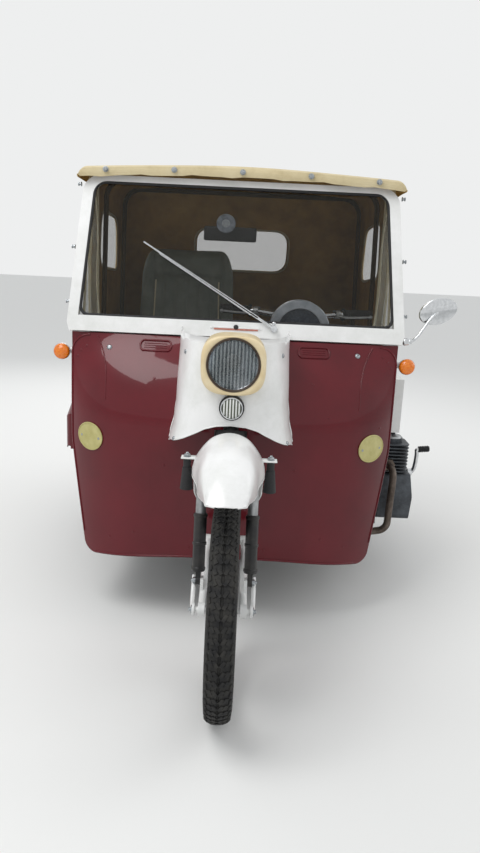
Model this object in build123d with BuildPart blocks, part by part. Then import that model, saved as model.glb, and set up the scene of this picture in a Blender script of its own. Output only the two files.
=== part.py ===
"""Three-wheeled two-seat soft-top runabout with a moped front end.

Millimetres. X points to the vehicle's left, Y to its rear and Z up.
The origin is the point on the ground under the front axle.
"""
import os
from math import atan2, cos, degrees, hypot, pi, radians, sin, tan

from build123d import *

os.makedirs("parts", exist_ok=True)

# Wheels: three alike, moped tyres on wire-spoked rims with full-width drum hubs
wheelbase = 1450.0
track = 1040.0
tyre_r = 275.0
tyre_w = 72.0
rim_r = 203.0
rim_w = 46.0
rim_wall = 2.5
hub_r = 62.0
hub_w = 76.0
flange_r = 72.0
flange_t = 4.0
spoke_r = 1.6
spoke_pairs = 18
axle_r = 7.5

# Clearances
seat_gap = 0.3
bearing_gap = 0.1

# Sheet, fabric and glass thicknesses
sheet = 3.0
fabric = 4.0
glass = 5.0
clear_film = 2.0

# Steering geometry: the axis meets the ground ahead of the front axle
rake = 26.0
trail = 85.0
stem_r = 13.0
head_bore_r = stem_r + bearing_gap
head_r = 22.0
crown_z = 676.0
crown_t = 16.0
head_high_z = 820.0
link_z = 842.0
column_x = 208.0
column_y = 800.0
column_top_z = 960.0
arm_l = 70.0
arm_w = 22.0
arm_t = 8.0
link_r = 6.0
ball_r = 9.0

# Front fork, with struts in front of long swing arms
leg_x = 30.0
leg_r = 11.0
strut_low = (80.0, 318.0)
strut_high = (143.0, 600.0)
sleeve_r = 14.0
tube_r = 17.0
swing_pivot = (322.0, 338.0)
swing_x = 54.0
swing_r = 10.0
pivot_half = 42.0
pivot_r = 14.0
pin_r = 7.0

# Front mudguard: a wide arc over the wheel, tangent behind it to a tighter one in front of the fork's legs
guard_y = 13.0
guard_z = 388.0
guard_r = 347.0
guard_turn = 25.0
guard_rear_r = 241.0
guard_half = 92.0
guard_t = 3.0

# Body widths and levels
shield_half = 523.0
shield_foot_half = 467.0
shield_y = 425.0
shield_foot_z = 228.0
shield_bend_z = 745.0
band_z = 920.0
screen_y = 575.0
screen_lean = 14.0
screen_foot_half = 530.0
screen_top_half = 502.0
screen_top_z = 1404.0
screen_depth = 22.0
pane_foot_z = 968.0
pane_foot_half = 503.0
pane_top_z = 1385.0
pane_top_half = 470.0
cowl_back_y = 665.0
floor_z = 236.0
floor_half = 455.0
waist_z = 860.0
body_front_y = 930.0
body_rear_y = 1880.0
body_half = 524.0
wing_half = 640.0
well_half = 424.0
well_top_z = 610.0
roof_z = 1450.0
hood_front_y = 672.0
hood_side_y = 825.0
hood_rear_y = 1425.0


def write(part, name):
    """Label one finished piece and write it as its own STEP file."""
    part.label = name
    export_step(part, f"parts/{name}.step")


def tube(points, radius, bend=0.0, bore=0.0):
    """One round tube or rod along straight runs, joined by bends of one radius."""
    with BuildPart() as run:
        with BuildLine() as path:
            if bend:
                FilletPolyline(*points, radius=bend)
            else:
                Polyline(*points)
        start = Plane(origin=path.line @ 0, z_dir=path.line % 0)
        with BuildSketch(start):
            Circle(radius)
            if bore:
                Circle(bore, mode=Mode.SUBTRACT)
        sweep()
    return run.part


def block(x, y, z):
    """One box between two limits along each axis."""
    with BuildPart(Plane.XY.offset(z[0])) as box:
        with Locations(((x[0] + x[1]) / 2, (y[0] + y[1]) / 2)):
            Box(x[1] - x[0], y[1] - y[0], z[1] - z[0], align=(Align.CENTER, Align.CENTER, Align.MIN))
    return box.part


def across(y, z, x=0.0):
    """The plane whose normal is the vehicle's X axis, its own axes along Y and Z."""
    return Plane(origin=(x, y, z), x_dir=(0, 1, 0), z_dir=(1, 0, 0))


# The steering axis and the column, which is parallel to it
axis_dir = Vector(0, sin(radians(rake)), cos(radians(rake)))
axis_fore = Vector(0, cos(radians(rake)), -sin(radians(rake)))


def on_axis(z):
    """The point of the steering axis at one height."""
    return Vector(0, z * tan(radians(rake)) - trail, z)


def on_column(z):
    """The point of the steering column's axis at one height."""
    return Vector(column_x, column_y + (z - column_top_z) * tan(radians(rake)), z)


def axis_plane(point):
    """The plane square to the steering axis through a point, with its x to the left."""
    return Plane(origin=point, x_dir=(1, 0, 0), z_dir=axis_dir)


link_span = on_column(link_z) - on_axis(link_z)
link_turn = atan2(link_span.dot(axis_fore), link_span.X)
arm_vector = Vector(-sin(link_turn) * arm_l, 0, 0) + axis_fore * (cos(link_turn) * arm_l)

# Wheels
wheel_table = (
    # name, x, y
    ("front", 0.0, 0.0),
    ("rear_right", -track / 2, wheelbase),
    ("rear_left", track / 2, wheelbase),
)
wheel_axis = Axis((0, 0, 0), (1, 0, 0))
section = Plane(origin=(0, 0, 0), x_dir=(1, 0, 0), z_dir=(0, -1, 0))
tyre_sides = 60
bead = (rim_w / 2, rim_r)
wall = (tyre_w / 2, rim_r + 0.5 * (tyre_r - rim_r))
shoulder = (tyre_w * 0.34, tyre_r - 7.0)
crown = (0.0, tyre_r)


def casing(half):
    """A drum of flats through one half section's corners and their mirror image."""
    with BuildPart() as drum:
        for x, radius in [(-x, radius) for x, radius in half] + [(x, radius) for x, radius in reversed(half) if x]:
            with BuildSketch(Plane(origin=(x, 0, 0), x_dir=(0, 1, 0), z_dir=(1, 0, 0))):
                RegularPolygon(radius, tyre_sides)
        loft(ruled=True)
    return drum.part


with BuildPart() as tyre:
    add(casing((wall, shoulder, crown)))
    add(casing((wall, bead)), mode=Mode.SUBTRACT)

with BuildPart() as rim:
    # drop-centre rim channel
    with BuildSketch(section):
        with BuildLine():
            Polyline(
                (-rim_w / 2, rim_r - seat_gap),
                (rim_w / 2, rim_r - seat_gap),
                (rim_w / 2, rim_r - rim_wall - 4.0),
                (rim_w / 4, rim_r - 14.0),
                (-rim_w / 4, rim_r - 14.0),
                (-rim_w / 2, rim_r - rim_wall - 4.0),
                close=True,
            )
        make_face()
    revolve(axis=wheel_axis)
    # drum hub with two spoke flanges
    with BuildSketch(section):
        with BuildLine():
            Polyline(
                (-hub_w / 2, axle_r + bearing_gap),
                (-hub_w / 2, hub_r - 6.0),
                (-hub_w / 2 + 6.0, hub_r),
                (-hub_w / 2 + 6.0, flange_r),
                (-hub_w / 2 + 6.0 + flange_t, flange_r),
                (-hub_w / 2 + 10.0 + flange_t, hub_r),
                (hub_w / 2 - 10.0 - flange_t, hub_r),
                (hub_w / 2 - 6.0 - flange_t, flange_r),
                (hub_w / 2 - 6.0, flange_r),
                (hub_w / 2 - 6.0, hub_r),
                (hub_w / 2, hub_r - 6.0),
                (hub_w / 2, axle_r + bearing_gap),
                close=True,
            )
        make_face()
    revolve(axis=wheel_axis)
    # crossed spokes, from each flange to the rim's well
    foot_r = flange_r - 4.0
    nipple_r = rim_r - 12.0
    for number in range(spoke_pairs):
        for side_sign in (-1, 1):
            turn = 2 * pi * (number + 0.25 * side_sign) / spoke_pairs
            lead = radians(34.0 if number % 2 else -34.0)
            foot = Vector(side_sign * (hub_w / 2 - 6.0 - flange_t / 2),
                          foot_r * cos(turn + lead), foot_r * sin(turn + lead))
            end = Vector(side_sign * 3.0, nipple_r * cos(turn), nipple_r * sin(turn))
            with BuildSketch(Plane(origin=foot, z_dir=end - foot)):
                RegularPolygon(spoke_r, 6)
            extrude(amount=(end - foot).length)

for wheel_name, wheel_x, wheel_y in wheel_table:
    place = Location((wheel_x, wheel_y, tyre_r))
    write(tyre.part.moved(place), f"{wheel_name}_tyre")
    write(rim.part.moved(place), f"{wheel_name}_rim")

# Front axle and the two long swing arms, which carry the wheel
axle_end_x = swing_x + swing_r + 8.0
lug_t = 8.0
with BuildPart() as swing_arm:
    for side_sign in (-1, 1):
        add(tube([(side_sign * swing_x, *swing_pivot), (side_sign * swing_x, 0, tyre_r)], swing_r))
        # eyes round the axle and round the pivot pin
        with BuildSketch(across(0, tyre_r, side_sign * (swing_x - 8.0))):
            Circle(swing_r + 8.0)
        extrude(amount=side_sign * 17.5)
        with BuildSketch(across(*swing_pivot, side_sign * (pivot_half + seat_gap))):
            Circle(pivot_r)
        extrude(amount=side_sign * 24.0)
        # lug that carries the strut's lower eye
        with BuildSketch(across(0, 0, side_sign * (swing_x + 1.0))):
            with BuildLine():
                Polyline(
                    (strut_low[0] - 22.0, tyre_r + 4.0),
                    (strut_low[0] + 26.0, tyre_r + 12.0),
                    (strut_low[0] + 11.0, strut_low[1] + 9.0),
                    (strut_low[0] - 11.0, strut_low[1] + 9.0),
                    close=True,
                )
            make_face()
        extrude(amount=side_sign * lug_t)
    # pivot pin behind the wheel and the wheel's axle
    for centre, radius in ((swing_pivot, pin_r), ((0, tyre_r), axle_r)):
        with BuildSketch(across(*centre, -axle_end_x)):
            Circle(radius)
        extrude(amount=2 * axle_end_x)
write(swing_arm.part, "front_swing_arm")

# Fork: stem, crown, two legs behind the wheel and the arm that the steering link pushes
crown_point = on_axis(crown_z)
crown_half = leg_x + leg_r + 5.0
leg_top = crown_point + axis_fore * 4.0
fork_ball = on_axis(link_z) + arm_vector
bracket_r = 7.0
strut_dir = Vector(0, strut_high[0] - strut_low[0], strut_high[1] - strut_low[1]).normalized()
strut_len = hypot(strut_high[0] - strut_low[0], strut_high[1] - strut_low[1])
strut_centre_x = 70.0
strut_cap_r = 13.0
hanger_z = strut_high[1] + 4.0
hanger_leg_y = swing_pivot[0] - 36.0


def link_arm(point):
    """Outline of the arm that reaches from a steering axis to its link's ball, in the axis plane."""
    with BuildSketch(axis_plane(point - axis_dir * (arm_t / 2))) as outline:
        with Locations((arm_vector.X / 2, arm_vector.dot(axis_fore) / 2)):
            SlotCenterToCenter(arm_l, arm_w, rotation=degrees(atan2(arm_vector.dot(axis_fore), arm_vector.X)))
    return outline.sketch


with BuildPart() as fork:
    with BuildSketch(axis_plane(crown_point)):
        Circle(stem_r)
    extrude(amount=(on_axis(link_z + 8.0) - crown_point).length)
    with BuildSketch(axis_plane(crown_point)):
        RectangleRounded(2 * crown_half, 44.0, 14.0)
    extrude(amount=crown_t)
    for side_sign in (-1, 1):
        leg = [
            (side_sign * leg_x, leg_top.Y, leg_top.Z + 6.0),
            (side_sign * leg_x, swing_pivot[0], 530.0),
            (side_sign * leg_x, swing_pivot[0], swing_pivot[1] + pivot_r - 5.0),
        ]
        add(tube(leg, leg_r, bend=60.0))
        # hanger that holds the strut's top beside the mudguard
        cap = Vector(side_sign * strut_centre_x, *strut_high) - strut_dir * (0.03 * strut_len - seat_gap)
        with BuildSketch(Plane(origin=cap, x_dir=(1, 0, 0), z_dir=strut_dir)):
            Circle(strut_cap_r)
        extrude(amount=14.0)
        add(tube([(side_sign * leg_x, hanger_leg_y, hanger_z), (cap.X, cap.Y, hanger_z)], bracket_r))
    with BuildSketch(across(*swing_pivot, -pivot_half)):
        Circle(pivot_r)
        Circle(pin_r + bearing_gap, mode=Mode.SUBTRACT)
    extrude(amount=2 * pivot_half)
    add(link_arm(on_axis(link_z)))
    extrude(amount=arm_t, dir=axis_dir)
write(fork.part, "fork_frame")

# Struts, one on each side of the tyre: a bright sleeve above that slides in a black tube below
tube_foot = 26.0
tube_top = 0.63 * strut_len
with BuildPart() as sleeves:
    for side_sign in (-1, 1):
        low = Vector(side_sign * strut_centre_x, *strut_low)
        with BuildSketch(Plane(origin=low + strut_dir * (tube_foot + 40.0), x_dir=(1, 0, 0), z_dir=strut_dir)):
            Circle(sleeve_r)
        extrude(amount=0.97 * strut_len - tube_foot - 40.0)
write(sleeves.part, "strut_sleeves")

with BuildPart() as strut_tubes:
    for side_sign in (-1, 1):
        low = Vector(side_sign * strut_centre_x, *strut_low)
        with BuildSketch(Plane(origin=low + strut_dir * tube_foot, x_dir=(1, 0, 0), z_dir=strut_dir)):
            Circle(tube_r)
        extrude(amount=tube_top - tube_foot)
        with BuildSketch(Plane(origin=low + strut_dir * (tube_foot + 40.0 - seat_gap), x_dir=(1, 0, 0),
                               z_dir=strut_dir)):
            Circle(sleeve_r + seat_gap)
        extrude(amount=tube_top, mode=Mode.SUBTRACT)
        # clevis eye at the lower end
        with BuildSketch(across(*strut_low, side_sign * (swing_x + 1.0 + lug_t + seat_gap))):
            Circle(12.0)
        extrude(amount=side_sign * 13.0)
        with BuildSketch(Plane(origin=low, x_dir=(1, 0, 0), z_dir=strut_dir)):
            Rectangle(13.0, 18.0)
        extrude(amount=tube_foot + 4.0)
write(strut_tubes.part, "strut_tubes")

# Front mudguard: a ridged crown with wide shoulders, and skirts that taper in to the front lip
rear_y = guard_y + (guard_r - guard_rear_r) * sin(radians(guard_turn))
rear_z = guard_z + (guard_r - guard_rear_r) * cos(radians(guard_turn))
guard_table = (
    # angle behind the vertical, half width and drop of the crown, of the shoulder and of the skirt
    (-41.0, 42.0, 9.0, 46.0, 14.0, 47.0, 60.0),
    (-18.0, 45.0, 12.0, 66.0, 42.0, 71.0, 104.0),
    (4.0, 48.0, 15.0, 82.0, 60.0, 90.0, 104.0),
    (guard_turn, 48.0, 15.0, 84.0, 62.0, guard_half, 104.0),
    (52.0, 46.0, 14.0, 82.0, 52.0, 90.0, 136.0),
    (84.0, 44.0, 12.0, 70.0, 34.0, 74.0, 136.0),
)


def guard_core(inset):
    """The mudguard as a solid, drawn in by one wall and run on past the ends and the bottom for its inside."""
    past = 6.0 if inset else 0.0
    with BuildPart() as solid:
        stations = []
        for angle, crown, crown_drop, shoulder, shoulder_drop, skirt, skirt_drop in guard_table:
            behind = angle > guard_turn
            radius = (guard_rear_r if behind else guard_r) - inset
            centre = (0, rear_y, rear_z) if behind else (0, guard_y, guard_z)
            turned = radians(angle + {guard_table[0][0]: -past, guard_table[-1][0]: past}.get(angle, 0.0))
            with BuildSketch(Plane(origin=centre, x_dir=(1, 0, 0), z_dir=(0, -cos(turned), sin(turned)))) as station:
                with BuildLine():
                    edge = ThreePointArc((-crown + inset, radius - crown_drop), (0, radius),
                                         (crown - inset, radius - crown_drop))
                    half = Polyline(edge @ 1, (shoulder - inset, radius - shoulder_drop),
                                    (skirt - inset, radius - skirt_drop - past))
                    mirror(half, Plane.YZ)
                    Line((-skirt + inset, radius - skirt_drop - past), (skirt - inset, radius - skirt_drop - past))
                make_face()
            stations.append(station.sketch)
        loft(sections=stations)
    return solid.part


guard_inner = guard_core(guard_t)
with BuildPart() as boss:
    with BuildSketch(axis_plane(crown_point - axis_dir * seat_gap)):
        Rectangle(16.0, 26.0)
    extrude(amount=-50.0)
    add(guard_inner, mode=Mode.SUBTRACT)

buffer_x = 110.0
buffer_y = 112.0
channel_top_z = 654.0
channel_low_z = 618.0
channel_end_x = 126.0
channel_half = 14.0
plate_t = 4.0
with BuildPart() as guard:
    add(guard_core(0.0))
    add(guard_inner, mode=Mode.SUBTRACT)
    # lower edge, which rises over each strut
    with BuildSketch(across(0, 0, -guard_half - 5.0)):
        with BuildLine():
            Polyline((-260.0, 637.0), (-205.0, 637.0), (115.0, 577.0), (150.0, 505.0), (296.0, 470.0), (400.0, 470.0),
                     (400.0, 250.0), (-260.0, 250.0), close=True)
        make_face()
    extrude(amount=2 * guard_half + 10.0, mode=Mode.SUBTRACT)
    for side_sign in (-1, 1):
        # way through for the strut's hanger
        hole = [(side_sign * leg_x, hanger_leg_y, hanger_z), (side_sign * strut_centre_x, strut_high[0], hanger_z)]
        add(tube(hole, bracket_r + 3.0), mode=Mode.SUBTRACT)
        # channel on the shoulder, with its flange turned out over the rubber buffer
        web_x = side_sign * (guard_half - 7.0)
        reach_y = (buffer_y - channel_half, buffer_y + channel_half)
        add(block(sorted((web_x, side_sign * channel_end_x)), reach_y, (channel_top_z - plate_t, channel_top_z)))
        add(block(sorted((web_x, side_sign * (guard_half - 1.0))), reach_y, (channel_low_z, channel_top_z)))
    # boss that bolts up to the fork's crown
    add(boss.part)
write(guard.part, "front_mudguard")

# A rubber buffer with its clamp under the flange of each channel
clamp_low_z = 625.0
buffer_low_z = 566.0
with BuildPart() as buffers:
    for side_sign in (-1, 1):
        with BuildSketch(Plane.XY.offset(clamp_low_z)):
            with Locations((side_sign * buffer_x, buffer_y)):
                Circle(10.0)
        extrude(amount=channel_top_z - plate_t - seat_gap - clamp_low_z)
        for z, radius in ((clamp_low_z, 12.0), (buffer_low_z, 17.5)):
            with BuildSketch(Plane.XY.offset(z)):
                with Locations((side_sign * buffer_x, buffer_y)):
                    Circle(radius)
        loft()
write(buffers.part, "rubber_buffers")

# Steering column, handlebar and grips
column_low_z = 720.0
bar_r = 11.0
grip_r = 15.0
bar_half = 150.0
grip_half = 262.0
bar_rise = 30.0
grip_back = 62.0
column_ball = on_column(link_z) + arm_vector
bar_centre = on_column(column_top_z)
with BuildPart() as column:
    with BuildSketch(axis_plane(on_column(column_low_z))):
        Circle(stem_r)
    extrude(amount=(bar_centre - on_column(column_low_z)).length)
    add(link_arm(on_column(link_z)))
    extrude(amount=arm_t, dir=axis_dir)

bar_points = [
    (column_x - grip_half, bar_centre.Y + grip_back, bar_centre.Z + bar_rise),
    (column_x - bar_half, bar_centre.Y + 10.0, bar_centre.Z + bar_rise),
    (column_x - 40.0, bar_centre.Y + 8.0, bar_centre.Z + 16.0),
    (column_x + 40.0, bar_centre.Y + 8.0, bar_centre.Z + 16.0),
    (column_x + bar_half, bar_centre.Y + 10.0, bar_centre.Z + bar_rise),
    (column_x + grip_half, bar_centre.Y + grip_back, bar_centre.Z + bar_rise),
]
with BuildPart() as handlebar:
    add(column.part)
    add(tube(bar_points, bar_r, bend=30.0))
    with BuildSketch(axis_plane(bar_centre - axis_dir * 4.0)):
        RectangleRounded(70.0, 34.0, 8.0)
    extrude(amount=36.0)
write(handlebar.part, "handlebar")

with BuildPart() as grips:
    for inner, outer in ((bar_points[1], bar_points[0]), (bar_points[4], bar_points[5])):
        start = Vector(*outer) + (Vector(*inner) - Vector(*outer)) * 0.92
        run = Vector(*outer) - start
        with BuildSketch(Plane(origin=start, z_dir=run)):
            Circle(grip_r)
            Circle(bar_r + seat_gap, mode=Mode.SUBTRACT)
        extrude(amount=run.length + 3.0)
write(grips.part, "grips")

# Steering link between the two arms, its rod above them on a short and a tall stud
with BuildPart() as link:
    rod_ends = []
    for ball, stud in ((fork_ball, 10.0), (column_ball, 20.0)):
        foot = ball + axis_dir * (arm_t / 2 + seat_gap)
        with BuildSketch(axis_plane(foot)):
            Circle(ball_r)
        extrude(amount=stud + link_r)
        rod_ends.append(foot + axis_dir * stud)
    add(tube(rod_ends, link_r))
write(link.part, "steering_link")

# Chassis: steering head, down tubes, two longitudinals, cross tubes and engine carrier
rail_x = 300.0
rail_w = 40.0
rail_low_z = 196.0
rail_top_z = floor_z - 6.0
rail_end_y = 1760.0
head_foot = crown_point + axis_dir * (crown_t + seat_gap)
column_foot = on_column(column_low_z + 8.0)
engine_inner_x = 566.0
with BuildPart() as chassis:
    down_start = on_axis(780.0)
    down_x = head_r + 10.0
    down_y = 515.0
    for side_sign in (-1, 1):
        add(tube([
            (side_sign * down_x, down_start.Y, down_start.Z),
            (side_sign * 42.0, down_y, 745.0),
            (side_sign * 60.0, down_y, rail_low_z + 4.0),
        ], 14.0, bend=50.0))
    # second head on the driver's side, which holds the handlebar's column
    for brace_z in (750.0, 800.0):
        brace_end = on_column(brace_z)
        add(tube([(0, on_axis(brace_z).Y + 40.0, brace_z), tuple(brace_end)], 11.0))
    for foot, top, radius, mode in (
        (head_foot, on_axis(head_high_z), head_r, Mode.ADD),
        (column_foot, on_column(head_high_z), head_r, Mode.ADD),
        (head_foot, on_axis(head_high_z), head_bore_r, Mode.SUBTRACT),
        (column_foot, on_column(head_high_z), head_bore_r, Mode.SUBTRACT),
    ):
        with BuildSketch(axis_plane(foot)):
            Circle(radius)
        extrude(amount=(top - foot).length, mode=mode)
    for side_sign in (-1, 1):
        add(block((side_sign * rail_x - rail_w / 2, side_sign * rail_x + rail_w / 2), (down_y - 20.0, rail_end_y),
                  (rail_low_z, rail_top_z)))
    # brackets from the down tubes to the shield
    for side_sign in (-1, 1):
        add(block(sorted((side_sign * 44.0, side_sign * 64.0)), (shield_y + sheet + 1.0, down_y), (480.0, 520.0)))
    # two arms out to the engine
    for carry_y in (900.0, 1050.0):
        add(block((rail_x, engine_inner_x - seat_gap), (carry_y - 15.0, carry_y + 15.0),
                  (rail_low_z, rail_low_z + 30.0)))
    for cross_y in (down_y, 900.0, 1120.0, rail_end_y - 20.0):
        add(block((-rail_x, rail_x), (cross_y - 20.0, cross_y + 20.0), (rail_low_z, rail_top_z)))
write(chassis.part, "chassis_frame")

# Front shield: a curved sheet, upright below, rolled back in one bend and leaning above
plan_mid = 250.0
shield_top_z = band_z - 6.0
plan_end_y = 580.0
lean_back = atan2(screen_y + 4.0 - shield_y, band_z + 8.0 - shield_bend_z)
bend_r = 260.0
bend_reach = bend_r * tan(lean_back / 2)
bend_start_z = shield_bend_z - bend_reach
bend_end_z = shield_bend_z + bend_reach * cos(lean_back)
blank_low_z = shield_foot_z - 60.0
blank_top_z = band_z + 8.0


def lean_y(z):
    """How far back the shield's middle has gone at one height."""
    if z <= bend_start_z:
        return 0.0
    if z <= bend_end_z:
        return bend_r - (bend_r ** 2 - (z - bend_start_z) ** 2) ** 0.5
    return bend_reach * sin(lean_back) + (z - bend_end_z) * tan(lean_back)


def shield_block():
    """All that lies behind the shield's front face, a little past the outline that it is trimmed to."""
    full = lean_y(blank_top_z)
    width = shield_half + 6.0
    end_y = plan_end_y + 6.0
    steps = 5
    faces = []
    for step in range(steps + 1):
        z = bend_start_z + (bend_end_z - bend_start_z) * min(step / (steps - 1), 1.0)
        z = blank_top_z if step == steps else z
        middle_y = shield_y + lean_y(z)
        knee_y = middle_y + 12.0 - 11.0 * lean_y(z) / full
        with BuildSketch(Plane.XY.offset(z)) as level:
            with BuildLine():
                front = ThreePointArc((-plan_mid, knee_y), (0, middle_y), (plan_mid, knee_y))
                left = TangentArc((plan_mid, knee_y), (width, end_y), tangent=front % 1)
                mirror(left, Plane.YZ)
                Polyline((width, end_y), (width, 720.0), (-width, 720.0), (-width, end_y))
            make_face()
        faces.append(level.sketch)
    with BuildPart() as solid:
        loft(sections=faces)
        add(faces[0])
        extrude(amount=blank_low_z - bend_start_z)
    return solid.part


behind_shield = shield_block()
with BuildPart() as shield:
    add(behind_shield)
    add(behind_shield.moved(Location((0, sheet, 0))), mode=Mode.SUBTRACT)
    # outline seen from the front
    with BuildSketch(Plane.XZ.offset(-300.0)):
        with BuildLine():
            foot = ThreePointArc((-shield_foot_half, shield_foot_z - 36.0), (0, shield_foot_z),
                                 (shield_foot_half, shield_foot_z - 36.0))
            Polyline(foot @ 1, (shield_half, 560.0), (shield_half, shield_top_z), (-shield_half, shield_top_z),
                     (-shield_half, 560.0), foot @ 0)
        make_face()
        fillet(vertices().group_by(Axis.Y)[0], 40.0)
        fillet(vertices().group_by(Axis.Y)[-1], 60.0)
    extrude(amount=-305.0, mode=Mode.INTERSECT)
    # opening behind the nose for the steering head, its tubes and its link
    with BuildSketch(Plane.XZ.offset(-300.0)):
        with Locations((24.0, 798.0)):
            RectangleRounded(200.0, 184.0, 40.0)
    extrude(amount=-400.0, mode=Mode.SUBTRACT)
write(shield.part, "front_shield")

# Round blanking covers on the shield, one on each side
cover_x = 450.0
cover_z = 592.0
cover_r = 45.0
with BuildPart() as covers:
    add(behind_shield.moved(Location((0, -sheet - seat_gap, 0))))
    add(behind_shield.moved(Location((0, -seat_gap, 0))), mode=Mode.SUBTRACT)
    with BuildSketch(Plane.XZ.offset(-300.0)):
        with Locations((-cover_x, cover_z), (cover_x, cover_z)):
            Circle(cover_r)
    extrude(amount=-300.0, mode=Mode.INTERSECT)
write(covers.part, "blanking_covers")

# Nose cover: a deep shell over the steering head, cut away in an arch above the wheel
lamp_z = 888.0
lamp_y = 178.0
lamp_glass_r = 68.0
bezel_half = 86.0
bezel_low = 77.0
nose_back_y = 600.0
nose_table = (
    # height, half width at the back, shoulder half width, shoulder y, front y
    (600.0, 205.0, 104.0, 232.0, 208.0),
    (700.0, 180.0, 104.0, 232.0, 208.0),
    (956.0, 174.0, 104.0, 240.0, 216.0),
)
nose_corner_r = 30.0
nose_lid_back_z = 908.0


def nose_sections(inset):
    """Closed plan sections of the nose, drawn in by one wall for its inside."""
    sections = []
    for z, foot, shoulder, shoulder_y, front_y in nose_table:
        with BuildSketch(Plane.XY.offset(z)) as face:
            with BuildLine():
                front = ThreePointArc((-shoulder + inset, shoulder_y + inset), (0, front_y + inset),
                                      (shoulder - inset, shoulder_y + inset))
                Polyline(front @ 1, (foot - inset, nose_back_y), (-foot + inset, nose_back_y), front @ 0)
            make_face()
            fillet(vertices().group_by(Axis.Y)[0], nose_corner_r - inset)
        sections.append(face.sketch)
    return sections


def nose_front_y(z):
    """The nose's front on its centre line, at one height above the arch."""
    low, high = nose_table[1], nose_table[2]
    return low[4] + (high[4] - low[4]) * (z - low[0]) / (high[0] - low[0])


def nose_solid(inset):
    """The nose as a solid under its lid, which falls towards the windscreen."""
    with BuildPart() as solid:
        loft(sections=nose_sections(inset), ruled=True)
        with BuildSketch(across(0, 0, -300.0)):
            with BuildLine():
                Polyline((100.0, 500.0), (screen_y - 1.0, 500.0), (screen_y - 1.0, nose_lid_back_z - inset),
                         (nose_table[-1][4], nose_table[-1][0] - inset), (100.0, nose_table[-1][0] - inset), close=True)
            make_face()
        extrude(amount=600.0, mode=Mode.INTERSECT)
    return solid.part


with BuildPart() as nose:
    add(nose_solid(0.0))
    add(nose_solid(sheet), mode=Mode.SUBTRACT)
    # seated on the shield
    add(behind_shield.moved(Location((0, -seat_gap, 0))), mode=Mode.SUBTRACT)
    # arched lower edge between two flat tips
    with BuildSketch(Plane.XZ.offset(0)):
        with BuildLine():
            arch = ThreePointArc((-84.0, 684.0), (0, 722.0), (84.0, 684.0))
            tip = TangentArc(arch @ 1, (158.0, 624.0), tangent=arch % 1)
            mirror(tip, Plane.YZ)
            Polyline(tip @ 1, (300.0, 616.0), (300.0, 500.0), (-300.0, 500.0), (-300.0, 616.0), (-158.0, 624.0))
        make_face()
    extrude(amount=-600.0, mode=Mode.SUBTRACT)
    # opening for the headlamp's bezel
    with BuildSketch(Plane.XZ.offset(-150.0)):
        with Locations((0, lamp_z - 2.0)):
            RectangleRounded(2 * bezel_half + 2 * seat_gap, 2 * bezel_low + 2 * seat_gap, 46.0)
    extrude(amount=-140.0, mode=Mode.SUBTRACT)
write(nose.part, "nose_cover")

# Headlamp: bezel plate, and a lamp unit behind it
bezel_front_y = 190.0
bezel_back_y = 262.0
with BuildPart() as bezel:
    with BuildSketch(Plane.XZ.offset(-(bezel_front_y + 14.0))):
        with Locations((0, lamp_z - 2.0)):
            RectangleRounded(2 * bezel_half, 2 * bezel_low, 46.0)
    with BuildSketch(Plane.XZ.offset(-bezel_front_y)):
        with Locations((0, lamp_z - 2.0)):
            RectangleRounded(2 * bezel_half - 12.0, 2 * bezel_low - 12.0, 42.0)
    loft()
    with BuildSketch(Plane.XZ.offset(-(bezel_front_y + 14.0))):
        with Locations((0, lamp_z - 2.0)):
            RectangleRounded(2 * bezel_half, 2 * bezel_low, 46.0)
            RectangleRounded(2 * bezel_half - 6.0, 2 * bezel_low - 6.0, 43.0, mode=Mode.SUBTRACT)
    extrude(amount=-(bezel_back_y - bezel_front_y - 14.0))
    with BuildSketch(Plane.XZ.offset(-bezel_front_y)):
        with Locations((0, lamp_z)):
            Circle(lamp_glass_r + 4.0)
    extrude(amount=60.0, both=True, mode=Mode.SUBTRACT)
write(bezel.part, "headlamp_bezel")

with BuildPart() as lamp:
    with BuildSketch(Plane(origin=(0, lamp_y, lamp_z), x_dir=(1, 0, 0), z_dir=(0, 0, 1))):
        with BuildLine():
            crown = ThreePointArc((0, 0), (lamp_glass_r * 0.55, 4.0), (lamp_glass_r, 14.0))
            Polyline(crown @ 1, (lamp_glass_r + 3.7, 18.0), (lamp_glass_r + 3.7, 32.0), (36.0, 70.0), (0, 70.0),
                     (0, 0))
        make_face()
    revolve(axis=Axis((0, lamp_y, lamp_z), (0, 1, 0)))
write(lamp.part, "headlamp")

small_lamp_z = 770.0
small_lamp_r = 32.0
small_lamp_y = 186.0
with BuildPart() as small_lamp:
    with BuildSketch(Plane.XZ.offset(-small_lamp_y)):
        with Locations((0, small_lamp_z)):
            Circle(small_lamp_r)
    extrude(amount=-(nose_front_y(small_lamp_z - small_lamp_r) - small_lamp_y - seat_gap))
write(small_lamp.part, "parking_lamp")

# Windscreen frame with its lower band, and its pane
lean = radians(screen_lean)
screen_plane = Plane(origin=(0, screen_y, band_z), x_dir=(1, 0, 0), z_dir=(0, -cos(lean), sin(lean)))


def up_screen(z):
    """Distance along the leaning windscreen from its foot to one height."""
    return (z - band_z) / cos(lean)


def outline_top(corners):
    """The two upper corners of an outline."""
    return corners.group_by(Axis.Y)[-1]


def pane_outline(inset):
    """Outline of the glass opening, drawn in by one clearance."""
    with BuildSketch(screen_plane.offset(-screen_depth / 2 - glass / 2)) as outline:
        with BuildLine():
            Polyline(
                (-pane_foot_half + inset, up_screen(pane_foot_z) + inset),
                (pane_foot_half - inset, up_screen(pane_foot_z) + inset),
                (pane_top_half - inset, up_screen(pane_top_z) - inset),
                (-pane_top_half + inset, up_screen(pane_top_z) - inset),
                close=True,
            )
        make_face()
        fillet(outline_top(vertices()), 46.0 - inset)
    return outline.sketch


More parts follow.
